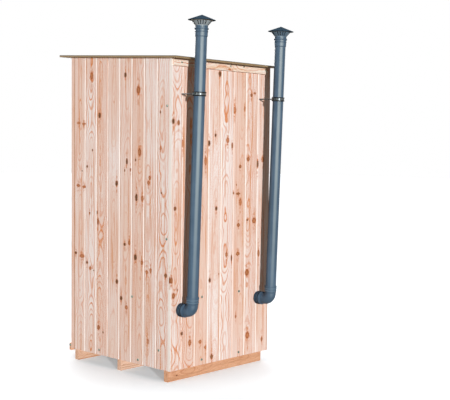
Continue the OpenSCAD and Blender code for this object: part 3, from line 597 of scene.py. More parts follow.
        # Long streaks, and the fibres
        streak = add(t, "MapRange", [self.noise((75.0, 75.0, 1.8)), 0.51, 0.67, 0.0, 0.72])
        wood = add(t, "Mix", [streak, wood, linear(f.streak)], data_type="RGBA")
        fibre = add(t, "MapRange", [self.noise((600.0, 600.0, 14.0)), 0.5, 0.75, 0.0, 0.3])
        return add(t, "Mix", [fibre, wood, linear(f.late)], data_type="RGBA")

    def edges(self, wood: bpy.types.Node) -> bpy.types.Node:
        """Paints a highlight along a board's high edge and shade along its low edge, as a lamp on the high
        side would light its two bevels.

        Args:
            wood: The colour below.

        Returns:
            The colour.
        """
        t, f = self.t, self.finish
        ends = add(t, "SeparateXYZ", [(self.span, "Vector")])
        left = add(t, "Math", [(self.xyz, "X"), (ends, "X")], operation="SUBTRACT")
        right = add(t, "Math", [(ends, "Y"), (self.xyz, "X")], operation="SUBTRACT")
        tan = add(t, "MapRange", [left, f.painted_shade_width + 1 * MM, f.painted_shade_width, 0.0, 0.9])
        painted_highlight_strength = add(t, "MapRange", [(self.luck, "X"), 0.0, 0.6, 0.4, 0.8])
        pale = add(t, "MapRange", [right, f.painted_highlight_width + 2 * MM, f.painted_highlight_width, 0.0, painted_highlight_strength])
        # Painted shade on the low bevel, then a painted highlight on the high one
        wood = add(t, "Mix", [tan, wood, linear(f.painted_shade_bevel)], data_type="RGBA")
        return add(t, "Mix", [pale, wood, linear(f.planed)], data_type="RGBA")

    def knots(self, wood: bpy.types.Node) -> bpy.types.Node:
        """Lays the knots over the wood: tails, halo, rim and the knot's own rings.

        Args:
            wood: The colour below.

        Returns:
            The colour.
        """
        t, k, f = self.t, self.k, self.finish
        place, tone = (self.place, "Vector"), (self.knot, "Alpha")
        present = add(t, "Math", [(k, "Z"), 1e-5], operation="GREATER_THAN")
        # The distance from the knot, a little ragged
        near = add(t, "Math", [self.away2], operation="SQRT")
        near = add(t, "Math", [add(t, "TexNoise", [place, 130.0, 2.0]), 0.9, near], operation="MULTIPLY_ADD")
        near = add(t, "Math", [near, 0.3], operation="SUBTRACT")
        # Grain that turns round the knot shows as tails above and below it
        tail = add(t, "Math", [(k, "X")], operation="ABSOLUTE")
        tail = add(t, "MapRange", [tail, 1.1, 0.2], interpolation_type="SMOOTHSTEP")
        reach = add(t, "Math", [(k, "Y")], operation="ABSOLUTE")
        reach = add(t, "MapRange", [reach, 5.5, 0.8])
        lick = add(t, "MapRange", [add(t, "TexNoise", [place, 70.0, 3.0]), 0.38, 0.6])
        for share in (reach, lick):
            tail = add(t, "Math", [tail, share], operation="MULTIPLY")
        halo = add(t, "MapRange", [near, 1.6, 1.0, 0.0, 0.75], interpolation_type="SMOOTHSTEP")
        halo = add(t, "Math", [halo, tail], operation="MAXIMUM")
        halo = add(t, "Math", [halo, present], operation="MULTIPLY")
        wood = add(t, "Mix", [halo, wood, linear(f.halo)], data_type="RGBA")
        # A live knot is orange brown, a dead one nearly black
        live = add(t, "MapRange", [tone, 0.25, 0.55])
        eye = add(t, "Mix", [live, linear(f.knot_dark), linear(f.knot_pale)], data_type="RGBA")
        rings = add(t, "Math", [near, 13.0], operation="MULTIPLY")
        rings = add(t, "Math", [rings], operation="SINE")
        rings = add(t, "MapRange", [rings, -1.0, 1.0, 0.0, 0.4])
        eye = add(t, "Mix", [rings, eye, linear(f.halo)], data_type="RGBA")
        edge = add(t, "Mix", [live, linear(f.knot_rim), linear(f.halo_rim)], data_type="RGBA")
        rim = add(t, "MapRange", [near, 0.5, 0.85, 0.0, 0.85], interpolation_type="SMOOTHSTEP")
        eye = add(t, "Mix", [rim, eye, edge], data_type="RGBA")
        body = add(t, "MapRange", [near, 1.1, 0.98], interpolation_type="SMOOTHSTEP")
        solid = add(t, "MapRange", [tone, 0.6, 1.0, 1.0, 0.45])
        for share in (present, solid):
            body = add(t, "Math", [body, share], operation="MULTIPLY")
        return add(t, "Mix", [body, wood, eye], data_type="RGBA")


@dataclass(frozen=True)
class PlywoodFinish:
    """Plywood: a sanded or filmed face, with its plies showing along the edges."""

    name: str
    face: str
    face_late: str
    ply_pale: str
    ply_dark: str
    ply: float = 1.4 * MM
    rough: float = 0.5

    def build(self) -> bpy.types.Material:
        """Builds the material from each panel's own place."""
        made, t, surface = new_material(self.name)
        place, rim = (add(t, "Attribute", attribute_name=name) for name in ("timber", "rim"))
        # The face: figure like a map's lines, and fibres
        at = add(t, "VectorMath", [(place, "Vector"), (9.0, 9.0, 2.2)], operation="MULTIPLY")
        figure = add(t, "Math", [add(t, "TexNoise", [at, 1.0, 3.0]), 16.0], operation="MULTIPLY")
        figure = add(t, "Math", [figure], operation="FRACT")
        figure = add(t, "MapRange", [figure, 0.55, 1.0, 0.0, 0.5])
        at = add(t, "VectorMath", [(place, "Vector"), (500.0, 500.0, 20.0)], operation="MULTIPLY")
        fibre = add(t, "TexNoise", [at, 1.0, 3.0])
        fleck = add(t, "MapRange", [fibre, 0.5, 0.8, 0.0, 0.35])
        amount = add(t, "Math", [figure, fleck], operation="MAXIMUM")
        face = add(t, "Mix", [amount, linear(self.face), linear(self.face_late)], data_type="RGBA")
        # The edge: pale and dark plies in turn
        deep = add(t, "SeparateXYZ", [(place, "Vector")])
        plies = add(t, "Math", [(deep, "Y"), self.ply * 2], operation="DIVIDE")
        plies = add(t, "Math", [plies], operation="FRACT")
        plies = add(t, "MapRange", [plies, 0.46, 0.54])
        core = add(t, "Mix", [plies, linear(self.ply_pale), linear(self.ply_dark)], data_type="RGBA")
        connect(t, surface, {
            "Base Color": add(t, "Mix", [(rim, "Fac"), face, core], data_type="RGBA"),
            "Normal": add(t, "Bump", {"Height": fibre, "Strength": 0.12, "Distance": 0.3 * MM}),
            "Roughness": self.rough})
        return made


@dataclass(frozen=True)
class PlasticFinish:
    """Moulded or extruded plastic, with flow marks, scuffs and a fine grain, and on pipes a painted highlight
    and painted shade.
    """

    name: str
    colour: str
    dusty: str
    rough: float
    grain: float = 0.6 * MM
    streak: float = 1.0
    bump: float = 0.05
    gloss: float = 0.5
    # Pipes only: the painted shade on the sides away from the key lamp and the painted highlight on the side
    # towards it
    shaded: str = ""
    painted_highlight_stripe: str = ""

    def build(self) -> bpy.types.Material:
        """Builds the material on object coordinates."""
        made, t, surface = new_material(self.name)
        place = (add(t, "TexCoord"), "Object")
        at = add(t, "VectorMath", [place, (60.0, 60.0, 60.0 / self.streak)], operation="MULTIPLY")
        flow = add(t, "TexNoise", [at, 1.0, 4.0, 0.55])
        dust = add(t, "TexNoise", [place, 7.0, 5.0])
        mask = add(t, "Math", [flow, dust], operation="MULTIPLY")
        mask = add(t, "MapRange", [mask, 0.2, 0.42])
        colour = add(t, "Mix", [mask, linear(self.colour), linear(self.dusty)], data_type="RGBA")
        if self.painted_highlight_stripe:
            # Painted light: shade on the sides that face away from the key lamp, a highlight stripe on the
            # side that faces it
            sun = (add(t, "Attribute", attribute_name="sun"), "Fac")
            shade = add(t, "MapRange", [sun, 0.12, 0.68, 0.95, 0.0])
            # The painted highlight is stronger up the pipe than at its foot
            high = add(t, "SeparateXYZ", [place])
            high = add(t, "MapRange", [(high, "Z"), 0.5, 1.5, 0.25, 1.0])
            highlight_stripe_mask = add(t, "MapRange", [sun, 0.92, 0.995, 0.0, high])
            colour = add(t, "Mix", [shade, colour, linear(self.shaded)], data_type="RGBA")
            colour = add(t, "Mix", [highlight_stripe_mask, colour, linear(self.painted_highlight_stripe)], data_type="RGBA")
        fine = add(t, "TexNoise", [place, 1 / self.grain, 2.0])
        connect(t, surface, {
            "Base Color": colour,
            "Normal": add(t, "Bump", {"Height": fine, "Strength": self.bump, "Distance": 0.2 * MM}),
            "Roughness": add(t, "MapRange", [flow, 0.3, 0.7, self.rough - 0.05, self.rough + 0.07]),
            "Specular IOR Level": self.gloss})
        return made


@dataclass(frozen=True)
class ZincFinish:
    """Zinc plating on steel, clouded where it has weathered."""

    name: str
    bright: str
    clouded: str
    rough: float

    def build(self) -> bpy.types.Material:
        """Builds the material on object coordinates."""
        made, t, surface = new_material(self.name)
        cloud = add(t, "TexNoise", [(add(t, "TexCoord"), "Object"), 90.0, 4.0])
        mask = add(t, "MapRange", [cloud, 0.35, 0.7])
        connect(t, surface, {
            "Base Color": add(t, "Mix", [mask, linear(self.bright), linear(self.clouded)], data_type="RGBA"),
            "Roughness": add(t, "MapRange", [cloud, 0.3, 0.7, self.rough - 0.08, self.rough + 0.14]),
            "Metallic": 1.0})
        return made


@dataclass(frozen=True)
class FeltFinish:
    """Roofing felt: bitumen with mineral grit pressed into it."""

    name: str
    bitumen: str = "#454239"
    grit_dark: str = "#57534a"
    grit_pale: str = "#8c877b"
    # Real grit is about 1 mm wide. It is drawn coarser so that it shows
    grit: float = 2.2 * MM

    def build(self) -> bpy.types.Material:
        """Builds the material on object coordinates."""
        made, t, surface = new_material(self.name)
        grains = add(t, "TexVoronoi", [(add(t, "TexCoord"), "Object"), 1 / self.grit])
        shade = add(t, "SeparateXYZ", [(grains, "Color")])
        grit = add(t, "Mix", [shade, linear(self.grit_dark), linear(self.grit_pale)], data_type="RGBA")
        gap = add(t, "MapRange", [grains, 0.35, 0.65])
        connect(t, surface, {
            "Base Color": add(t, "Mix", [gap, grit, linear(self.bitumen)], data_type="RGBA"),
            "Normal": add(t, "Bump", {"Height": grains, "Strength": 0.6, "Distance": 0.8 * MM}, invert=True),
            "Roughness": 0.9})
        return made


# -------------------------------------------------------------------- timber


@dataclass
class Timber:
    """Pieces of wood made from one node's solids: eased edges, grain and knots."""

    node: str
    body: str
    slot: str
    finish: bpy.types.Material
    grain: Grain = Grain.LONGEST
    ease: float = 1.2 * MM
    cell: float = 0.04
    cell_across: float = 0.06
    knots: Sequence[Knot] = ()
    # Where no knots are given: how many there are on a metre, and the half width of the widest
    knots_a_metre: float = 1.6
    widest_knot: float = 14 * MM
    # Edges that turn further than this are eased
    eased_turn: float = math.radians(35)
    wall_axis: int = 0
    jointed: bool = False

    def build(self) -> bpy.types.Object:
        """Makes the piece and lets it stand for its node."""
        bm = merged(self.node, 0.02 * MM, 0.6)
        self.cut(bm)
        mesh = settled(bm, self.node + "_wood")
        mesh.materials.append(self.finish)
        shade(mesh, smooth=False)
        self.mark(mesh)
        return hand_over(link(self.node + "_wood", mesh), self.body, self.slot, self.node)

    def cut(self, bm: bmesh.types.BMesh) -> None:
        """Eases the sharp edges and cuts long faces into cells that a knot can fill.

        Args:
            bm: The merged solids.
        """
        sharp = [e for e in bm.edges if len(e.link_faces) == 2 and e.calc_face_angle(0) > self.eased_turn
                 and e.calc_length() > 4 * self.ease]
        bmesh.ops.bevel(bm, geom=sharp, offset=self.ease, offset_type="OFFSET", segments=2, profile=0.6,
                        affect="EDGES", clamp_overlap=True)
        low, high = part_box(self.node)
        size = high - low
        for axis in range(3):
            step = self.cell if axis == self.long_axis(size) else self.cell_across
            normal = Vector([1.0 if i == axis else 0.0 for i in range(3)])
            for k in range(1, int(size[axis] / step) + 1):
                # A little off the round place, so that no cut runs along an edge
                bmesh.ops.bisect_plane(bm, geom=bm.verts[:] + bm.edges[:] + bm.faces[:], dist=1e-6,
                                       plane_co=low + normal * (k * step + 0.7 * MM), plane_no=normal)

    def long_axis(self, size: Vector) -> int:
        """Gives the axis that the grain follows, for a piece of this size."""
        if self.grain is not Grain.LONGEST:
            return self.grain.value
        return max(range(3), key=lambda i: size[i])

    def mark(self, mesh: bpy.types.Mesh) -> None:
        """Writes each timber's own place, number, rims and knots onto the mesh.

        Args:
            mesh: The cut mesh.
        """
        co = read(mesh.vertices, "co", 3, np.float64)
        normals = read(mesh.polygons, "normal", 3, np.float64)
        starts = read(mesh.polygons, "loop_start")
        totals = read(mesh.polygons, "loop_total")
        corner_vertex = read(mesh.loops, "vertex_index")
        owner = np.repeat(np.arange(len(starts)), totals)
        island = islands_of(mesh)
        face_island = island[corner_vertex[starts]]
        local, span = np.zeros_like(co), np.zeros_like(co)
        number, rim = np.zeros(len(co)), np.zeros(len(owner))
        knot = np.zeros((len(owner), 4))
        knot[:, 0:2] = FAR
        for i in range(island.max() + 1):
            mine = island == i
            lo, hi = co[mine].min(0), co[mine].max(0)
            size, middle = hi - lo, (lo + hi) / 2
            long = self.long_axis(Vector(size))
            wide, thin = sorted((a for a in range(3) if a != long), key=lambda a: -size[a])
            order = [wide, thin, long]
            local[mine] = (co[mine] - middle)[:, order]
            rng = random.Random(f"{self.node} {i}")
            number[mine] = rng.random()
            faces = np.nonzero(face_island == i)[0]
            corners = np.nonzero(face_island[owner] == i)[0]
            rim[corners] = np.abs(normals[owner[corners]][:, thin]) < 0.7
            vertices = [corner_vertex[starts[f] : starts[f] + totals[f]] for f in faces]
            if self.jointed:
                span[mine] = self.span_of([local[v, 0] for v in vertices], normals[faces, wide])
            else:
                span[mine] = (-FAR, FAR, 0.0)
            table = np.array(self.knots_on(rng, size[order], middle[order], lo, hi))
            if not len(table):
                continue
            centre = np.array([local[v][:, [0, 2]].mean(0) for v in vertices])
            gap = np.hypot(centre[:, None, 0] - table[None, :, 0], centre[:, None, 1] - table[None, :, 1])
            gap = gap - 1.3 * table[None, :, 2]
            pick = np.full(len(starts), -1)
            pick[faces] = np.where(gap.min(1) < KNOT_REACH, gap.argmin(1), -1)
            for c in corners[pick[owner[corners]] >= 0]:
                a, z, ra, rz, tone = table[pick[owner[c]]]
                at = local[corner_vertex[c]]
                knot[c] = ((at[0] - a) / ra, (at[2] - z) / rz, ra, tone)
        write(mesh, "timber", "POINT", local)
        write(mesh, "board", "POINT", number)
        write(mesh, "rim", "CORNER", rim)
        write(mesh, "span", "POINT", span)
        write(mesh, "knot", "CORNER", knot)

    @staticmethod
    def span_of(across: Sequence[np.ndarray], slant: np.ndarray) -> tuple[float, float, float]:
        """Finds the two long edges of a board's shown face, from its bevels.

        Args:
            across: Place across the board of every face's corners.
            slant: How far every face turns towards the board's high side.

        Returns:
            The low and the high edge, and 0.
        """
        ends = [min(at[0] for at in across), max(at[0] for at in across)]
        for at, turn in zip(across, slant):
            if 0.5 < abs(turn) < 0.9 and at.max() - at.min() > 2 * MM and at.mean() * turn > 0:
                ends[int(turn > 0)] = at.max() if turn > 0 else at.min()
        return (ends[0], ends[1], 0.0)

    def knots_on(self, rng: random.Random, size: np.ndarray, middle: np.ndarray, lo: np.ndarray,
                 hi: np.ndarray) -> list[tuple[float, float, float, float, float]]:
        """Finds the knots of one timber, in its own place.

        Args:
            rng: The timber's own random numbers.
            size: Its width, thickness and length.
            middle: Its middle, in the same order.
            lo: Its lowest corner in the frame.
            hi: Its highest corner in the frame.

        Returns:
            For each knot its place across and along, two half sizes and paleness.
        """
        if self.knots:
            a = self.wall_axis
            return [(k.u - (lo[a] + hi[a]) / 2, k.z - middle[2], k.ru, k.rz, k.tone)
                    for k in self.knots if lo[a] <= k.u <= hi[a]]
        found = []
        for _ in range(int(rng.random() * 2 * self.knots_a_metre * size[2] + 0.5)):
            # Small knots are commoner than wide ones, and narrow timbers have none that are wide
            r = (0.12 + 0.88 * rng.random() ** 2) * min(self.widest_knot, size[0] * 0.28)
            found.append(((rng.random() - 0.5) * size[0] * 0.8, (rng.random() - 0.5) * size[2] * 0.96,
                          r, r * (1.1 + 1.2 * rng.random()), rng.random() * 0.95))
        return found


@dataclass
class Boards(Timber):
    """Upright tongued and grooved boards."""

    grain: Grain = Grain.UPRIGHT
    ease: float = 0.7 * MM
    cell: float = 0.025
    cell_across: float = 0.031
    jointed: bool = True


# -------------------------------------------------- metal, plastic and rubber


@dataclass
class Fitting:
    """A metal, plastic or rubber piece made from one node's solids, with eased edges."""

    node: str
    body: str
    slot: str
    finish: bpy.types.Material
    ease: float = 0.4 * MM

    def dress(self, mesh: bpy.types.Mesh) -> None:
        """Gives the mesh its finish."""
        mesh.materials.append(self.finish)

    def build(self) -> bpy.types.Object:
        """Makes the piece and lets it stand for its node."""
        mesh = settled(merged(self.node, 0.005 * MM, 0.4), self.node + "_made")
        self.dress(mesh)
        shade(mesh, smooth=True)
        made = link(self.node + "_made", mesh)
        ease = made.modifiers.new("ease", "BEVEL")
        ease.width = self.ease
        ease.segments = 2
        ease.limit_method = "ANGLE"
        ease.angle_limit = SHARP
        ease.harden_normals = True
        return hand_over(baked(made), self.body, self.slot, self.node)


def mark_lit_side(mesh: bpy.types.Mesh) -> None:
    """Marks how far each vertex faces the key lamp, which sets a pipe's painted highlight and painted shade.

    Args:
        mesh: The finished mesh.
    """
    normals = read(mesh.vertices, "normal", 3, np.float32)
    write(mesh, "sun", "POINT", normals @ np.array(SUNNY, np.float32))


@dataclass
class Pipework(Fitting):
    """A plastic pipe piece with a highlight painted on the side that faces the key lamp and shade painted on
    the sides away from it.
    """

    def build(self) -> bpy.types.Object:
        """Makes the piece and marks how far it faces the key lamp, for its painted light."""
        made = super().build()
        mark_lit_side(made.data)
        return made


@dataclass
class Hat(Pipework):
    """A rain hat with a matt dark cone and a flared grille painted pale outside as a painted highlight, whose
    inside and holes take the cone's dark finish as painted shade.
    """

    side: str = "right"
    grille: Optional[bpy.types.Material] = None
    cone: Optional[bpy.types.Material] = None
    # The height of the grille's foot, and height and radius where it meets the cone
    foot: float = 10.5 * MM
    head: tuple[float, float] = (45 * MM, 71 * MM)
    cone_foot: float = 40 * MM
    # The way that the flare's outside looks: out from the axis, and down
    flare: tuple[float, float] = (0.76, -0.65)

    def dress(self, mesh: bpy.types.Mesh) -> None:
        """Gives the hat its finish, the outside of its grille the pale painted highlight, and its cone and
        the grille's inside the dull dark one, which there is painted shade.
        """
        for finish in (self.finish, self.grille, self.cone):
            mesh.materials.append(finish)
        inverse = leaning_leg(self.side, HAT_AT).inverted()
        turn = inverse.to_3x3()
        top, reach = self.head
        for face in mesh.polygons:
            at, out = inverse @ face.center, turn @ face.normal
            radius = math.hypot(at.x, at.y)
            if self.foot < at.z < top and radius < reach:
                # Only the outside of the flare takes the pale painted highlight; its holes and its inside
                # take the dark cone finish as painted shade
                outward = (out.x * at.x + out.y * at.y) / radius * self.flare[0] + out.z * self.flare[1]
                face.material_index = 1 if outward > 0.6 else 2
            elif at.z > self.cone_foot:
                face.material_index = 2


@dataclass
class Turned:
    """A ring or sleeve: a closed section turned round an axis."""

    name: str
    slot: str
    finish: bpy.types.Material
    section: Sequence[tuple[float, float]]
    at: Matrix
    steps: int = 56

    def build(self) -> bpy.types.Object:
        """Turns the section, given as radius and height, and puts it in place."""
        count = len(self.section)
        verts, faces = [], []
        for k in range(self.steps):
            a = math.tau * k / self.steps
            verts += [self.at @ Vector((r * math.cos(a), r * math.sin(a), z)) for r, z in self.section]
            one, two = k * count, (k + 1) % self.steps * count
            for i in range(count):
                j = (i + 1) % count
                faces.append((one + i, two + i, two + j, one + j))
        mesh = bpy.data.meshes.new(self.name)
        mesh.from_pydata(verts, [], faces)
        mesh.materials.append(self.finish)
        shade(mesh, smooth=True)
        mesh.set_sharp_from_angle(angle=SHARP)
        return hand_over(link(self.name, mesh), "cabin", self.slot)


@dataclass
class Rings:
    """Fine rings set out along an axis by Geometry Nodes, such as ridges or a thread."""

    name: str
    slot: str
    finish: bpy.types.Material
    at: Matrix
    count: int
    pitch: float
    radius: float
    wire: float
    sides: int = 48

    @staticmethod
    def tree() -> bpy.types.NodeTree:
        """Gives the tree that sets rings out along Z, built once."""
        found = bpy.data.node_groups.get("rings_along_z")
        if found:
            return found
        t, start = geometry_tree("rings_along_z", {"Count": "Int", "Pitch": "Float", "Radius": "Float",
                                                   "Wire": "Float", "Sides": "Int", "Finish": "Material"})
        step = add(t, "CombineXYZ", {"Z": (start, "Pitch")})
        line = add(t, "GeometryNodeMeshLine", {"Count": (start, "Count"), "Offset": step})
        path = add(t, "GeometryNodeCurvePrimitiveCircle",
                   {"Resolution": (start, "Sides"), "Radius": (start, "Radius")})
        wire = add(t, "GeometryNodeCurvePrimitiveCircle", {"Resolution": 6, "Radius": (start, "Wire")})
        ring = add(t, "GeometryNodeCurveToMesh", {"Curve": path, "Profile Curve": wire})
        many = add(t, "GeometryNodeInstanceOnPoints", {"Points": line, "Instance": ring})
        return close_tree(t, start, many)

    def build(self) -> bpy.types.Object:
        """Makes the rings and puts them in place."""
        made = grown(self.name, self.tree(), {
            "Count": self.count, "Pitch": self.pitch, "Radius": self.radius, "Wire": self.wire,
            "Sides": self.sides, "Finish": self.finish})
        made.data.transform(self.at)
        mark_lit_side(made.data)
        shade(made.data, smooth=True)
        return hand_over(made, "cabin", self.slot)


class Facing(Enum):
    """Which way the heads of screws or nails look, as the turn that brings +Z there."""

    REAR = (-math.pi / 2, 0.0, 0.0)
    FRONT = (math.pi / 2, 0.0, 0.0)
    RIGHT = (0.0, math.pi / 2, 0.0)
    LEFT = (0.0, -math.pi / 2, 0.0)
    UP = (0.0, 0.0, 0.0)
    ROOF = (-math.atan(ROOF_FALL), 0.0, 0.0)


@dataclass
class Heads:
    """Screw or nail heads set on spots by Geometry Nodes."""

    name: str
    finish: bpy.types.Material
    spots: Sequence[tuple[tuple[float, float, float], Facing]]
    radius: float = 4.5 * MM
    height: float = 2.0 * MM
    star: bool = True
    body: str = "cabin"
    corners: int = 12
    seed: int = 7

    @staticmethod
    def tree() -> bpy.types.NodeTree:
        """Gives the tree that sets a head on every point, built once."""
        found = bpy.data.node_groups.get("heads_on_spots")
        if found:
            return found
        t, start = geometry_tree("heads_on_spots", {"Spots": "Geometry", "Head": "Object", "Size": "Float",
                                                    "Spin": "Float", "Seed": "Int", "Finish": "Material"})
        head = add(t, "GeometryNodeObjectInfo", {"Object": (start, "Head")})
        turn = add(t, "GeometryNodeInputNamedAttribute", {"Name": "turn"}, data_type="FLOAT_VECTOR")
        many = add(t, "GeometryNodeInstanceOnPoints", {
            "Points": (start, "Spots"), "Instance": (head, "Geometry"), "Rotation": turn,
            "Scale": (start, "Size")})
        chance = add(t, "FunctionNodeRandomValue", {2: 0.0, 3: (start, "Spin"), "Seed": (start, "Seed")})
        spin = add(t, "CombineXYZ", {"Z": (chance, 1)})
        spun = add(t, "GeometryNodeRotateInstances", {"Instances": many, "Rotation": spin})
        return close_tree(t, start, spun)

    def head(self) -> bpy.types.Object:
        """Makes one head: a flange, a round shoulder and, in a screw, a star-shaped socket."""
        r, h, n = self.radius, self.height, self.corners
        rows = [(r * 0.92, -0.4 * MM), (r, 0.1 * h), (r, 0.35 * h), (r * 0.8, 0.85 * h), (r * 0.55, h)]
        if self.star:
            rows += [(r * 0.5, h), (r * 0.45, 0.4 * h)]
        verts, faces = [], []
        for i, (radius, z) in enumerate(rows):
            for k in range(n):
                # Every other corner of the socket stands in, which makes its star
                inner = 0.62 if i > 4 and k % 2 else 1.0
                a = math.tau * k / n
                verts.append((radius * inner * math.cos(a), radius * inner * math.sin(a), z))
        for i in range(len(rows) - 1):
            for k in range(n):
                j = (k + 1) % n
                faces.append((i * n + k, i * n + j, (i + 1) * n + j, (i + 1) * n + k))
        faces.append(tuple(reversed(range(n))))
        faces.append(tuple((len(rows) - 1) * n + k for k in range(n)))
        mesh = bpy.data.meshes.new("head")
        mesh.from_pydata(verts, [], faces)
        return link("head", mesh)

    def build(self) -> bpy.types.Object:
        """Makes the heads, each turned by chance about its own axis."""
        points = bpy.data.meshes.new(self.name)
        points.from_pydata([place for place, _ in self.spots], [], [])
        write(points, "turn", "POINT", [facing.value for _, facing in self.spots])
        head = self.head()
        made = grown(self.name, self.tree(), {
            "Head": head, "Size": 1.0, "Spin": math.tau, "Seed": self.seed, "Finish": self.finish}, points)
        bpy.data.objects.remove(head)
        return hand_over(made, self.body, "zinc_steel")


# ---------------------------------------------------------------- the finishes


class Finishes:
    """Every finish of the cabin, built once."""

    def __init__(self) -> None:
        """Builds the materials."""
        self.timbers()
        self.plastics()
        self.metals()

    def timbers(self) -> None:
        """Builds the woods, the plywoods and the felt."""
        # Fresh planed pine: pale pink sapwood with orange rings and dark knots, with a highlight painted
        # along one bevel of each board and shade along the other
        self.wall = PineFinish("planed_pine_boards").build()
        # A whiter plank of the same pine, with strong orange figure
        self.batten = PineFinish("planed_pine_batten", sap="#fffdfa", sap_warm="#fff6ea", heart="#fdeedd",
                                 late="#d2691c", streak="#eab888", ring=13 * MM, line=2.2).build()
        # Kiln-dried pine that the sun doesn't reach: yellower, with quiet rings
        self.frame = PineFinish("planed_pine_frame", sap="#efd6b8", sap_warm="#e4be94", heart="#d8a373",
                                late="#c68f5c", streak="#c99a6b").build()
        # Sawn pine: rougher and more orange, and dull
        self.skid = PineFinish("sawn_pine_skids", sap="#f7d6be", sap_warm="#e9b692", heart="#d9a47a",
                               late="#b9673a", streak="#bb7a4e", halo="#b5683a", painted_shade_bevel="#d39a70", line=1.7,
                               rough=0.72, bump=0.4).build()
        # Spruce underfoot: straw yellow with fine brown rings
        self.floor = PineFinish("planed_spruce_floor", sap="#ead3b0", sap_warm="#dfbf93", heart="#cfa474",
                                late="#b98a58", streak="#c19a6d").build()
        # Oiled birch: honey brown, close grained, with a soft sheen from hands
        self.latch = PineFinish("oiled_birch_button", sap="#cb9763", sap_warm="#ba804e", heart="#ab7040",
                                late="#8f5a30", streak="#996238", ring=2.2 * MM, rough=0.42).build()
        # Birch plywood: cream faces, striped edges
        self.birch = PlywoodFinish("birch_plywood", "#ecd6b2", "#d9b988", "#e4c99c", "#b58a58").build()
        # Film-faced plywood: a smooth brown skin, with pale plies at the edges
        self.roof = PlywoodFinish("film_faced_plywood", "#7a6043", "#6a5136", "#b09870", "#7d6446").build()
        # Mineral felt: a dull grey of many small grains
        self.felt = FeltFinish("bitumen_roofing_felt").build()

    def plastics(self) -> None:
        """Builds the plastics and the rubber."""
        # Extruded polypropylene: blue grey and silky, with a highlight painted on the side towards the key
        # lamp and shade painted on the sides away from it
        self.pipe = PlasticFinish("grey_polypropylene_drain_pipe", "#4b6277", "#5a7288", rough=0.42,
                                  streak=40.0, gloss=0.14, shaded="#30465a", painted_highlight_stripe="#8e9da4").build()
        # Ridges painted paler than the pipe, as a painted highlight on their crests; the left hat's grille
        # takes it too
        self.ridge = PlasticFinish("rubbed_polypropylene_ridges", "#647c8f", "#748b9c", rough=0.45,
                                   gloss=0.14).build()
        # Ridges by the wall painted nearly black, as painted shade in the grooves between them
        self.painted_dark = PlasticFinish("soiled_polypropylene_ridges", "#202d38", "#2c3a46", rough=0.6,
                                    gloss=0.05).build()
        # A thin moulded grille painted almost white, a painted highlight where low light reaches its outside
        self.grille = PlasticFinish("chalked_polypropylene_grille", "#a3b0b7", "#b9c2c6", rough=0.5,
                                    gloss=0.2).build()
        # A cone gone fully matt, so that it stays dark against the sky. It is also the painted shade inside
        # the hats' grilles
        self.cone = PlasticFinish("sun_dulled_polypropylene_cone", "#3d5263", "#4a6072", rough=0.75,
                                  gloss=0.0).build()
        # Moulded seat plastic: warm white and glossy
        self.white = PlasticFinish("white_moulded_seat_plastic", "#f1f0eb", "#e4e2da", rough=0.22).build()
        # Bin plastic: dark green with a pebbled grain
        self.bin = PlasticFinish("green_moulded_polyethylene", "#2c3b30", "#3b4a3e", rough=0.5,
                                 grain=1.1 * MM, bump=0.2).build()
        # Rubber: black and almost without shine
        self.rubber = PlasticFinish("black_moulded_rubber", "#141414", "#20201f", rough=0.8,
                                    gloss=0.12).build()

    def metals(self) -> None:
        """Builds the plated steels."""
        # Bright zinc: clear reflections with cloudy grey patches
        self.zinc = ZincFinish("bright_zinc_plated_steel", "#9fa4a6", "#7b7f7d", rough=0.36).build()
        # Zinc in a dark grey, for the clamps, their rods and screws
        self.clamp = ZincFinish("dulled_zinc_clamp_steel", "#6e7577", "#474d4e", rough=0.34).build()
        # Green passivated screws: greenish grey with a faint shine
        self.screw = ZincFinish("green_passivated_screw_steel", "#90a094", "#5f6e64", rough=0.45).build()


# Knots as they lie: across, height, half width, half height, and 0 dark to 1 pale
REAR_KNOTS = knots_from([
    (38, 2039, 14, 20, 0.25), (-321, 1925, 11, 8, 0.5), (-287, 1910, 12, 13, 0.4), (-217, 1813, 9, 17, 0.85),
    (-116, 1800, 13, 22, 0.92), (472, 1707, 12, 19, 0.15), (424, 1699, 11, 17, 0.45), (75, 1623, 9, 13, 0.2),
    (-46, 1591, 15, 19, 0.75), (135, 1569, 10, 18, 0.1), (383, 1565, 8, 27, 0.95), (-92, 1555, 8, 22, 0.4),
    (-259, 1462, 16, 16, 0.5), (-416, 1459, 14, 20, 0.8), (170, 1448, 12, 30, 0.9), (-360, 1427, 11, 27, 0.3),
    (-177, 1410, 12, 12, 0.45), (-140, 1284, 5, 6, 0.6), (-109, 1226, 9, 7, 0.35), (-158, 1221, 19, 9, 0.4),
    (-181, 1163, 13, 26, 0.8), (451, 1141, 12, 14, 0.35), (62, 1126, 11, 15, 0.2), (-257, 1032, 8, 7, 0.25),
    (-329, 1025, 20, 21, 0.55), (-164, 1002, 14, 15, 0.5), (-45, 803, 11, 19, 0.6), (-161, 800, 18, 13, 0.6),
    (-382, 789, 11, 27, 0.5), (-97, 775, 8, 24, 0.3), (31, 675, 5, 7, 0.7), (480, 673, 12, 24, 0.45),
    (-259, 660, 20, 23, 0.5), (119, 641, 11, 17, 0.1), (426, 607, 6, 9, 0.5), (460, 570, 14, 19, 0.5),
    (-146, 360, 8, 11, 0.6), (380, 311, 9, 14, 0.05), (306, 239, 14, 22, 0.6), (208, 232, 14, 12, 0.85),
    (-271, 210, 20, 25, 0.65), (153, 187, 15, 12, 0.85), (-428, 160, 10, 16, 0.45), (94, 114, 14, 19, 0.35),
])
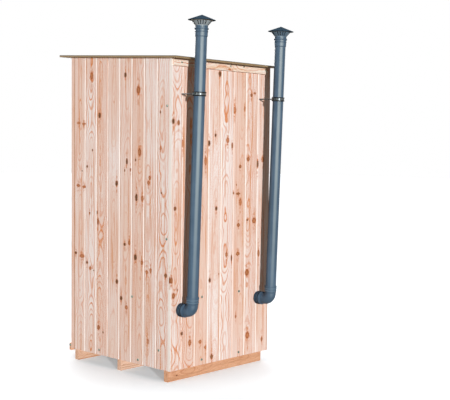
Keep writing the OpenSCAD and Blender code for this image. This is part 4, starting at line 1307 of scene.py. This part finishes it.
SIDE_KNOTS = knots_from([
    (-292, 2033, 17, 28, 0.55), (66, 2023, 12, 19, 0.1), (197, 1918, 18, 27, 0.5), (414, 1767, 6, 9, 0.2),
    (-205, 1756, 14, 21, 0.2), (-438, 1705, 17, 9, 0.75), (-380, 1699, 17, 9, 0.75), (416, 1531, 8, 15, 0.85),
    (-282, 1514, 7, 8, 0.2), (213, 1505, 15, 29, 0.5), (172, 1451, 7, 9, 0.2), (84, 1439, 10, 23, 0.15),
    (-341, 1398, 9, 9, 0.2), (122, 1385, 7, 12, 0.4), (62, 1379, 5, 10, 0.2), (-398, 1365, 6, 5, 0.3),
    (313, 1335, 11, 15, 0.7), (302, 1302, 13, 13, 0.7), (-21, 1288, 14, 19, 0.15), (-441, 1260, 19, 10, 0.6),
    (-376, 1253, 17, 9, 0.6), (427, 1240, 6, 7, 0.2), (182, 1200, 13, 27, 0.2), (242, 1197, 13, 20, 0.65),
    (-235, 1077, 13, 13, 0.15), (-312, 1069, 7, 8, 0.4), (-220, 1014, 9, 26, 0.4), (112, 890, 12, 16, 0.55),
    (65, 875, 12, 11, 0.2), (175, 796, 15, 23, 0.15), (-468, 774, 13, 10, 0.1), (241, 766, 12, 16, 0.55),
    (-398, 756, 25, 13, 0.7), (327, 720, 10, 18, 0.65), (-341, 715, 11, 10, 0.2), (289, 705, 12, 13, 0.7),
    (473, 701, 14, 14, 0.35), (-303, 677, 13, 12, 0.6), (-264, 665, 6, 5, 0.3), (-15, 612, 14, 17, 0.05),
    (31, 502, 12, 17, 0.1), (85, 445, 14, 14, 0.8), (-211, 266, 13, 18, 0.45), (306, 242, 8, 20, 0.9),
    (-161, 238, 7, 9, 0.4),
])


# ------------------------------------------------------------------ assemblies


@dataclass
class Assembly:
    """Some of the cabin's pieces, made in its finishes."""

    finishes: Finishes


class Cladding(Assembly):
    """The four boarded walls."""

    def build(self) -> None:
        """Makes the boards of every wall."""
        wall = self.finishes.wall
        # The two walls in view have finer cells, which keep neighbouring knots apart
        for node, knots, axis in (("rear_cladding", REAR_KNOTS, 0), ("side_cladding_right", SIDE_KNOTS, 1)):
            Boards(node, "cabin", "wall_pine", wall, cell=0.02, cell_across=0.0155, knots=knots,
                   wall_axis=axis).build()
        for node in ("side_cladding_left", "front_boards"):
            Boards(node, "cabin", "wall_pine", wall).build()
        Boards("door_jambs", "cabin", "wall_pine", wall, jointed=False).build()
        Timber("door_head", "cabin", "wall_pine", wall).build()
        Timber("rear_batten", "cabin", "wall_pine", self.finishes.batten).build()


class Carcass(Assembly):
    """Skids, floor and frame."""

    def build(self) -> None:
        """Makes every timber below and behind the boards."""
        f = self.finishes
        for node in ("skid_front", "skid_middle", "skid_rear", "threshold", "front_sill"):
            Timber(node, "cabin", "skid_pine", f.skid, ease=1.5 * MM, cell=0.02, cell_across=0.02).build()
        Timber("floor_boards", "cabin", "floor_spruce", f.floor, Grain.DEEP, ease=0.4 * MM).build()
        for node in ("bottom_rails", "corner_posts", "wall_rails", "top_rails", "door_stops", "roof_purlins",
                     "bench_cleats", "drawer_guides"):
            Timber(node, "cabin", "frame_pine", f.frame).build()


class Roof(Assembly):
    """The roof panel and its felt."""

    def build(self) -> None:
        """Makes the panel and the felt."""
        f = self.finishes
        Timber("roof_panel", "cabin", "roof_plywood", f.roof, Grain.DEEP, ease=0.5 * MM, cell=0.2,
               cell_across=0.2).build()
        Fitting("roof_felt", "cabin", "roof_felt", f.felt, ease=0.6 * MM).build()


class Door(Assembly):
    """The door leaf with its fittings."""

    def build(self) -> None:
        """Makes the leaf, hinges, pulls, turn button and slide bolt."""
        f = self.finishes
        Boards("door_boards", "door", "wall_pine", f.wall).build()
        Timber("door_ledges", "door", "frame_pine", f.frame).build()
        Timber("door_braces", "door", "frame_pine", f.frame, Grain.UPRIGHT).build()
        for node in ("hinge_straps", "door_pulls", "bolt_barrel"):
            Fitting(node, "door", "zinc_steel", f.zinc).build()
        for node in ("hinge_plates", "hinge_pins", "latch_screw", "bolt_keeper"):
            Fitting(node, "cabin", "zinc_steel", f.zinc, ease=0.3 * MM).build()
        Fitting("bolt_rod", "bolt", "zinc_steel", f.zinc, ease=0.3 * MM).build()
        Timber("turn_latch", "latch", "latch_wood", f.latch, Grain.UPRIGHT, ease=1.5 * MM, cell=0.02,
               cell_across=0.02).build()


class Bench(Assembly):
    """The bench, the seat and the pull-out bin."""

    def build(self) -> None:
        """Makes the panels, the seat and lid, the chute and the drawer with its bin."""
        f = self.finishes
        for node, body in (("bench_front", "cabin"), ("bench_top", "cabin"), ("drawer_front", "drawer"),
                           ("drawer_tray", "drawer")):
            Timber(node, body, "bench_plywood", f.birch, Grain.ACROSS, ease=1 * MM, cell=0.2,
                   cell_across=0.2).build()
        for node, body in (("drop_chute", "cabin"), ("seat_ring", "cabin"), ("lid_hinge_posts", "cabin"),
                           ("seat_lid", "lid")):
            Fitting(node, body, "white_plastic", f.white, ease=0.5 * MM).build()
        Fitting("lid_buffers", "lid", "black_rubber", f.rubber, ease=0.3 * MM).build()
        Fitting("lid_hinge_pin", "cabin", "zinc_steel", f.zinc, ease=0.5 * MM).build()
        Fitting("compost_bin", "drawer", "bin_plastic", f.bin, ease=0.6 * MM).build()


@dataclass
class Vents(Assembly):
    """The two vents with their clamps."""

    # The real thread has a 1.25 mm pitch, drawn at 2.5 mm so that it shows
    thread_pitch: float = 2.5 * MM
    # The thread starts this far from the pipe's middle and ends a few millimetres short of the wall
    thread_start: float = 56 * MM

    def build(self) -> None:
        """Makes the pipes, bends, sockets, hats, clamps and seals."""
        f = self.finishes
        for side in VENTS:
            for part in ("wall_socket", "vent_bend", "vent_pipe"):
                Pipework(f"{part}_{side}", "cabin", "vent_plastic", f.pipe).build()
            # The right hat's grille takes the pale painted highlight and the left one's takes the darker
            # ridge colour, so the two grilles are lit and shaded copies
            Hat(f"vent_hat_{side}", "cabin", "vent_plastic", f.pipe, side=side,
                grille=f.grille if side == "right" else f.ridge, cone=f.cone).build()
            self.ridges(side)
            self.clamp_edges(side)
        for node in ("clamp_bands", "clamp_rods", "clamp_screws"):
            Fitting(node, "cabin", "zinc_steel", f.clamp, ease=0.3 * MM).build()
        for node in ("clamp_liners", "socket_seals"):
            Fitting(node, "cabin", "black_rubber", f.rubber, ease=0.3 * MM).build()

    def ridges(self, side: str) -> None:
        """Makes the fine ridges of a vent's sockets, and the upstand inside its hat.

        Args:
            side: Which vent.
        """
        f = self.finishes
        # The wall socket's ridges are painted nearly black, as painted shade in their grooves
        Rings(f"wall_socket_ridges_{side}", "vent_plastic", f.painted_dark, level_leg(side, 8 * MM),
              count=3, pitch=14 * MM, radius=42.6 * MM, wire=2.8 * MM).build()
        # The bend socket's ridges are painted pale, a painted highlight on their crests
        Rings(f"bend_socket_ridges_{side}", "vent_plastic", f.ridge,
              leaning_leg(side, BEND_SOCKET_AT + 19 * MM),
              count=2, pitch=15 * MM, radius=39.7 * MM, wire=3.4 * MM).build()
        Rings(f"pipe_socket_ridge_{side}", "vent_plastic", f.pipe, leaning_leg(side, HAT_AT - 28 * MM),
              count=1, pitch=8 * MM, radius=40.6 * MM, wire=3 * MM).build()
        foot, top = 8 * MM, 32 * MM
        # The upstand carries no lit-side mark, so the pipe finish draws it in its painted shade colour all
        # round
        Turned(f"hat_upstand_{side}", "vent_plastic", f.pipe,
               [(BORE_R, foot), (PIPE_R, foot), (PIPE_R, top), (BORE_R, top)],
               leaning_leg(side, HAT_AT)).build()

    def clamp_edges(self, side: str) -> None:
        """Makes the rubber edges that fold over a clamp's band, and the thread on its rod.

        Args:
            side: Which vent.
        """
        f = self.finishes
        clamp = leaning_leg(side, CLAMP_AT)
        inner = PIPE_R + 0.2 * MM
        lip = [(inner, 7.5 * MM), (44.2 * MM, 7.5 * MM), (44.8 * MM, 9 * MM), (44.4 * MM, 12 * MM),
               (43 * MM, 13.6 * MM), (inner, 13.8 * MM)]
        # The lower edge is the upper one turned over, so its section runs the other way round
        for label, ring in (("upper", lip), ("lower", [(r, -z) for r, z in reversed(lip)])):
            Turned(f"clamp_rubber_edge_{label}_{side}", "black_rubber", f.rubber, ring, clamp).build()
        length = VENTS[side][1] + CLAMP_AT * math.sin(VENT_LEAN) - self.thread_start - 1 * MM
        at = clamp @ Matrix.Translation((0, -self.thread_start, 0)) @ Matrix.Rotation(math.pi / 2, 4, "X")
        Rings(f"clamp_rod_thread_{side}", "zinc_steel", f.clamp, at, count=int(length / self.thread_pitch),
              pitch=self.thread_pitch, radius=3.9 * MM, wire=0.5 * MM, sides=12).build()


@dataclass
class Fixings(Assembly):
    """Screw heads in the walls, the door, the hinges and the bench, and the roof's nails."""

    # Place across and height of the screws in the rear wall, a side wall, the batten and the front wall
    rear: Sequence = ((-0.176, 0.535), (0.194, 0.535), (0.192, 0.108), (-0.179, 0.103))
    side: Sequence = ((-0.202, 0.108), (0.207, 0.103), (0.145, 0.526), (0.412, 0.199), (0.480, 0.941),
                      (0.479, 1.806))
    batten: Sequence = ((-0.055, 2.096), (-0.189, 2.101), (-0.418, 2.095), (0.411, 2.088))
    front: Sequence = tuple((x, z) for x in (0.415, 0.465) for z in (0.125, 0.530, 1.250, 1.900))
    # The same for the screw in each end of the front sill, and for those in its face
    sill_end: Sequence = (-0.530, 0.095)
    sill: Sequence = tuple((x, 0.082) for x in (-0.4, -0.13, 0.13, 0.4))
    # The outer faces of the batten and of the front sill
    batten_y: float = 0.532
    sill_y: float = -0.541
    # The door's boards, and the heights of the screws that hold its ledges
    door_width: float = 0.788
    door_boards: int = 6
    ledges: Sequence = (0.243, 0.283, 1.034, 1.074, 1.832, 1.868)
    # Place across of the screws in each hinge's strap and plate, and how thick that steel is
    straps: Sequence = (-0.365, -0.305, -0.245, -0.185, -0.140)
    plates: Sequence = (-0.437, -0.417)
    steel: float = 2.5 * MM
    # The upper face of the bench
    bench_z: float = 0.545
    # The nails stand this far in from the felt's edges, in so many to a row
    nail_inset: float = 0.018
    nail_row: int = 12

    def build(self) -> None:
        """Makes every head."""
        self.walls()
        self.door()
        self.bench()
        self.roof()

    def walls(self) -> None:
        """Makes the screw heads of the four walls, the sill and the batten."""
        f = self.finishes
        walls = [((x, REAR_Y, z), Facing.REAR) for x, z in self.rear]
        walls += [((SIDE_X, y, z), Facing.RIGHT) for y, z in self.side]
        walls += [((-SIDE_X, y, z), Facing.LEFT) for y, z in self.side]
        walls += [((s * x, FRONT_Y, z), Facing.FRONT) for s in (-1, 1) for x, z in self.front]
        y, z = self.sill_end
        walls += [((-SIDE_X, y, z), Facing.LEFT), ((SIDE_X, y, z), Facing.RIGHT)]
        walls += [((x, self.sill_y, z), Facing.FRONT) for x, z in self.sill]
        Heads("wall_screws", f.screw, walls, radius=8.5 * MM, height=4.5 * MM).build()
        batten = [((x, self.batten_y, z), Facing.REAR) for x, z in self.batten]
        Heads("batten_screws", f.screw, batten, radius=6.5 * MM, height=3 * MM).build()

    def door(self) -> None:
        """Makes the screw heads of the door and of its hinges."""
        zinc = self.finishes.zinc
        board = self.door_width / self.door_boards
        door = [((board * (k + 0.5) - self.door_width / 2 + dx, DOOR_Y, z), Facing.FRONT)
                for k in range(self.door_boards) for dx in (-0.03, 0.03) for z in self.ledges]
        Heads("door_board_screws", zinc, door, radius=4.5 * MM, height=1.6 * MM, body="door").build()
        straps = [((x, DOOR_Y - self.steel, z), Facing.FRONT) for z in HINGE_Z for x in self.straps]
        Heads("strap_screws", zinc, straps, radius=5.5 * MM, height=2.4 * MM, body="door").build()
        plates = [((x, FRONT_Y - self.steel, z + dz), Facing.FRONT) for z in HINGE_Z for x in self.plates
                  for dz in (-0.034, 0.034)]
        Heads("plate_screws", zinc, plates, radius=5 * MM, height=2.2 * MM).build()

    def bench(self) -> None:
        """Makes the screw heads of the bench."""
        top = [((s * x, y, self.bench_z), Facing.UP) for s in (-1, 1) for x in (0.225, 0.455)
               for y in (0.0, 0.24, 0.485)]
        Heads("bench_screws", self.finishes.zinc, top, radius=4.5 * MM, height=0.9 * MM).build()

    def roof(self) -> None:
        """Makes the nails along the felt's four edges."""
        low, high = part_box("roof_felt")
        inset, count = self.nail_inset, self.nail_row
        nails = [(x, y) for y in (low.y + inset, high.y - inset)
                 for x in np.linspace(low.x + inset, high.x - inset, count)]
        nails += [(x, y) for x in (low.x + inset, high.x - inset)
                  for y in np.linspace(low.y + 0.1, high.y - 0.1, count)]
        felt = [((x, y, high.z - (y - low.y) * ROOF_FALL), Facing.ROOF) for x, y in nails]
        Heads("roofing_nails", self.finishes.zinc, felt, radius=5 * MM, height=1.2 * MM, star=False).build()


# --------------------------------------------------------------------- studio


@dataclass(frozen=True)
class Lamp:
    """A distant lamp, turned from the rear wall's normal towards +X, with its angles in degrees."""

    name: str
    strength: float
    turn: float
    height: float
    width: float

    def build(self) -> None:
        """Adds the lamp."""
        data = bpy.data.lights.new(self.name, "SUN")
        data.energy = self.strength
        data.angle = math.radians(self.width)
        made = bpy.data.objects.new(self.name, data)
        bpy.context.scene.collection.objects.link(made)
        a, e = math.radians(self.turn), math.radians(self.height)
        towards = Vector((math.sin(a) * math.cos(e), math.cos(a) * math.cos(e), math.sin(e)))
        made.rotation_mode = "QUATERNION"
        made.rotation_quaternion = towards.to_track_quat("Z", "Y")


@dataclass
class Studio:
    """A plain white floor, soft light and the camera at the photograph's angle."""

    camera_at: tuple[float, float, float] = (4.7064, 4.9307, 1.5343)
    yaw: float = 3.89208626
    pitch: float = -0.0545096
    roll: float = 0.0102025
    lens: float = 75.48
    sky: float = 0.05
    floor_half: float = 40.0
    floor_glow: float = 0.57
    floor_glow_near: float = 0.34
    lamps: Sequence[Lamp] = (
        Lamp("key", 3.06, 29.0, 9.0, 1.6), Lamp("side_fill", 0.9, 108.0, 12.0, 40.0),
        Lamp("left_fill", 2.6, -140.0, 15.0, 30.0), Lamp("front_fill", 1.2, 195.0, 12.0, 40.0),
        Lamp("top_fill", 0.75, -60.0, 78.0, 60.0))

    def build(self) -> None:
        """Makes the floor, the world, the lamps and the camera."""
        self.floor()
        self.world()
        for lamp in self.lamps:
            lamp.build()
        self.camera()
        bpy.context.scene.view_settings.view_transform = "Standard"

    def floor(self) -> None:
        """Makes a floor that shows white to the camera, keeps the cabin's shadow and has a soft shadow
        painted round the cabin.
        """
        half = self.floor_half
        corners = [(-half, -half, 0), (half, -half, 0), (half, half, 0), (-half, half, 0)]
        mesh = bpy.data.meshes.new("studio_floor")
        mesh.from_pydata(corners, [], [(0, 1, 2, 3)])
        made, t, surface = new_material("matt_white_studio_floor")
        path = add(t, "LightPath")
        # The camera sees a paler floor than the cabin does, so that the floor keeps a shadow
        camera = (path, "Is Camera Ray")
        pale = add(t, "Mix", [camera, linear("#80705c"), linear("#e0e8ee")], data_type="RGBA")
        connect(t, surface, {"Base Color": pale, "Roughness": 1.0, "Specular IOR Level": 0.0})
        seen = add(t, "Math", [camera, (path, "Is Glossy Ray")], operation="ADD")
        # The glow is weaker close round the cabin, which paints a soft shadow there
        away = add(t, "VectorMath", [(add(t, "TexCoord"), "Object")], operation="LENGTH")
        glow = add(t, "MapRange", [away, 0.6, 0.98, self.floor_glow_near, self.floor_glow])
        glow = add(t, "Math", [seen, glow], operation="MULTIPLY")
        light = add(t, "Emission", {"Color": (1, 1, 1, 1), "Strength": glow})
        connect(t, t.nodes["Material Output"], {"Surface": add(t, "AddShader", [surface, light])})
        mesh.materials.append(made)
        link("studio_floor", mesh)

    def world(self) -> None:
        """Makes a world that lights softly and shows white behind the cabin."""
        world = bpy.data.worlds.new("studio")
        bpy.context.scene.world = world
        world.use_nodes = True
        t = world.node_tree
        path = add(t, "LightPath")
        seen = add(t, "Math", [(path, "Is Camera Ray"), (path, "Is Glossy Ray")], operation="ADD")
        seen = add(t, "Math", [seen, (path, "Is Transmission Ray")], operation="ADD", use_clamp=True)
        # Light that comes back from a room full of wood is a little warm
        hue = add(t, "Mix", [seen, linear("#ffdcc0"), (1, 1, 1, 1)], data_type="RGBA")
        level = add(t, "MapRange", [seen, 0.0, 1.0, self.sky, 1.0])
        connect(t, t.nodes["Background"], {"Color": hue, "Strength": level})

    def camera(self) -> None:
        """Sets the camera where the photograph was taken."""
        data = bpy.data.cameras.new("camera")
        data.lens = self.lens
        data.sensor_width = 36.0
        data.clip_end = 200.0
        made = bpy.data.objects.new("camera", data)
        bpy.context.scene.collection.objects.link(made)
        flat = math.cos(self.pitch)
        forward = Vector((math.cos(self.yaw) * flat, math.sin(self.yaw) * flat, math.sin(self.pitch)))
        right = forward.cross(Vector((0, 0, 1))).normalized()
        up = right.cross(forward)
        c, s = math.cos(self.roll), math.sin(self.roll)
        right, up = c * right + s * up, -s * right + c * up
        rows = Matrix((right, up, -forward)).transposed()
        made.matrix_world = Matrix.Translation(self.camera_at) @ rows.to_4x4()
        bpy.context.scene.camera = made


def main() -> None:
    """Builds the cabin round its frame and the studio round the cabin."""
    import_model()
    finishes = Finishes()
    for part in (Cladding(finishes), Carcass(finishes), Roof(finishes), Door(finishes), Bench(finishes),
                 Vents(finishes), Fixings(finishes)):
        part.build()
        LOG.info("built %s", type(part).__name__)
    Studio().build()


if __name__ == "__main__":
    logging.basicConfig(level=logging.INFO)
    main()
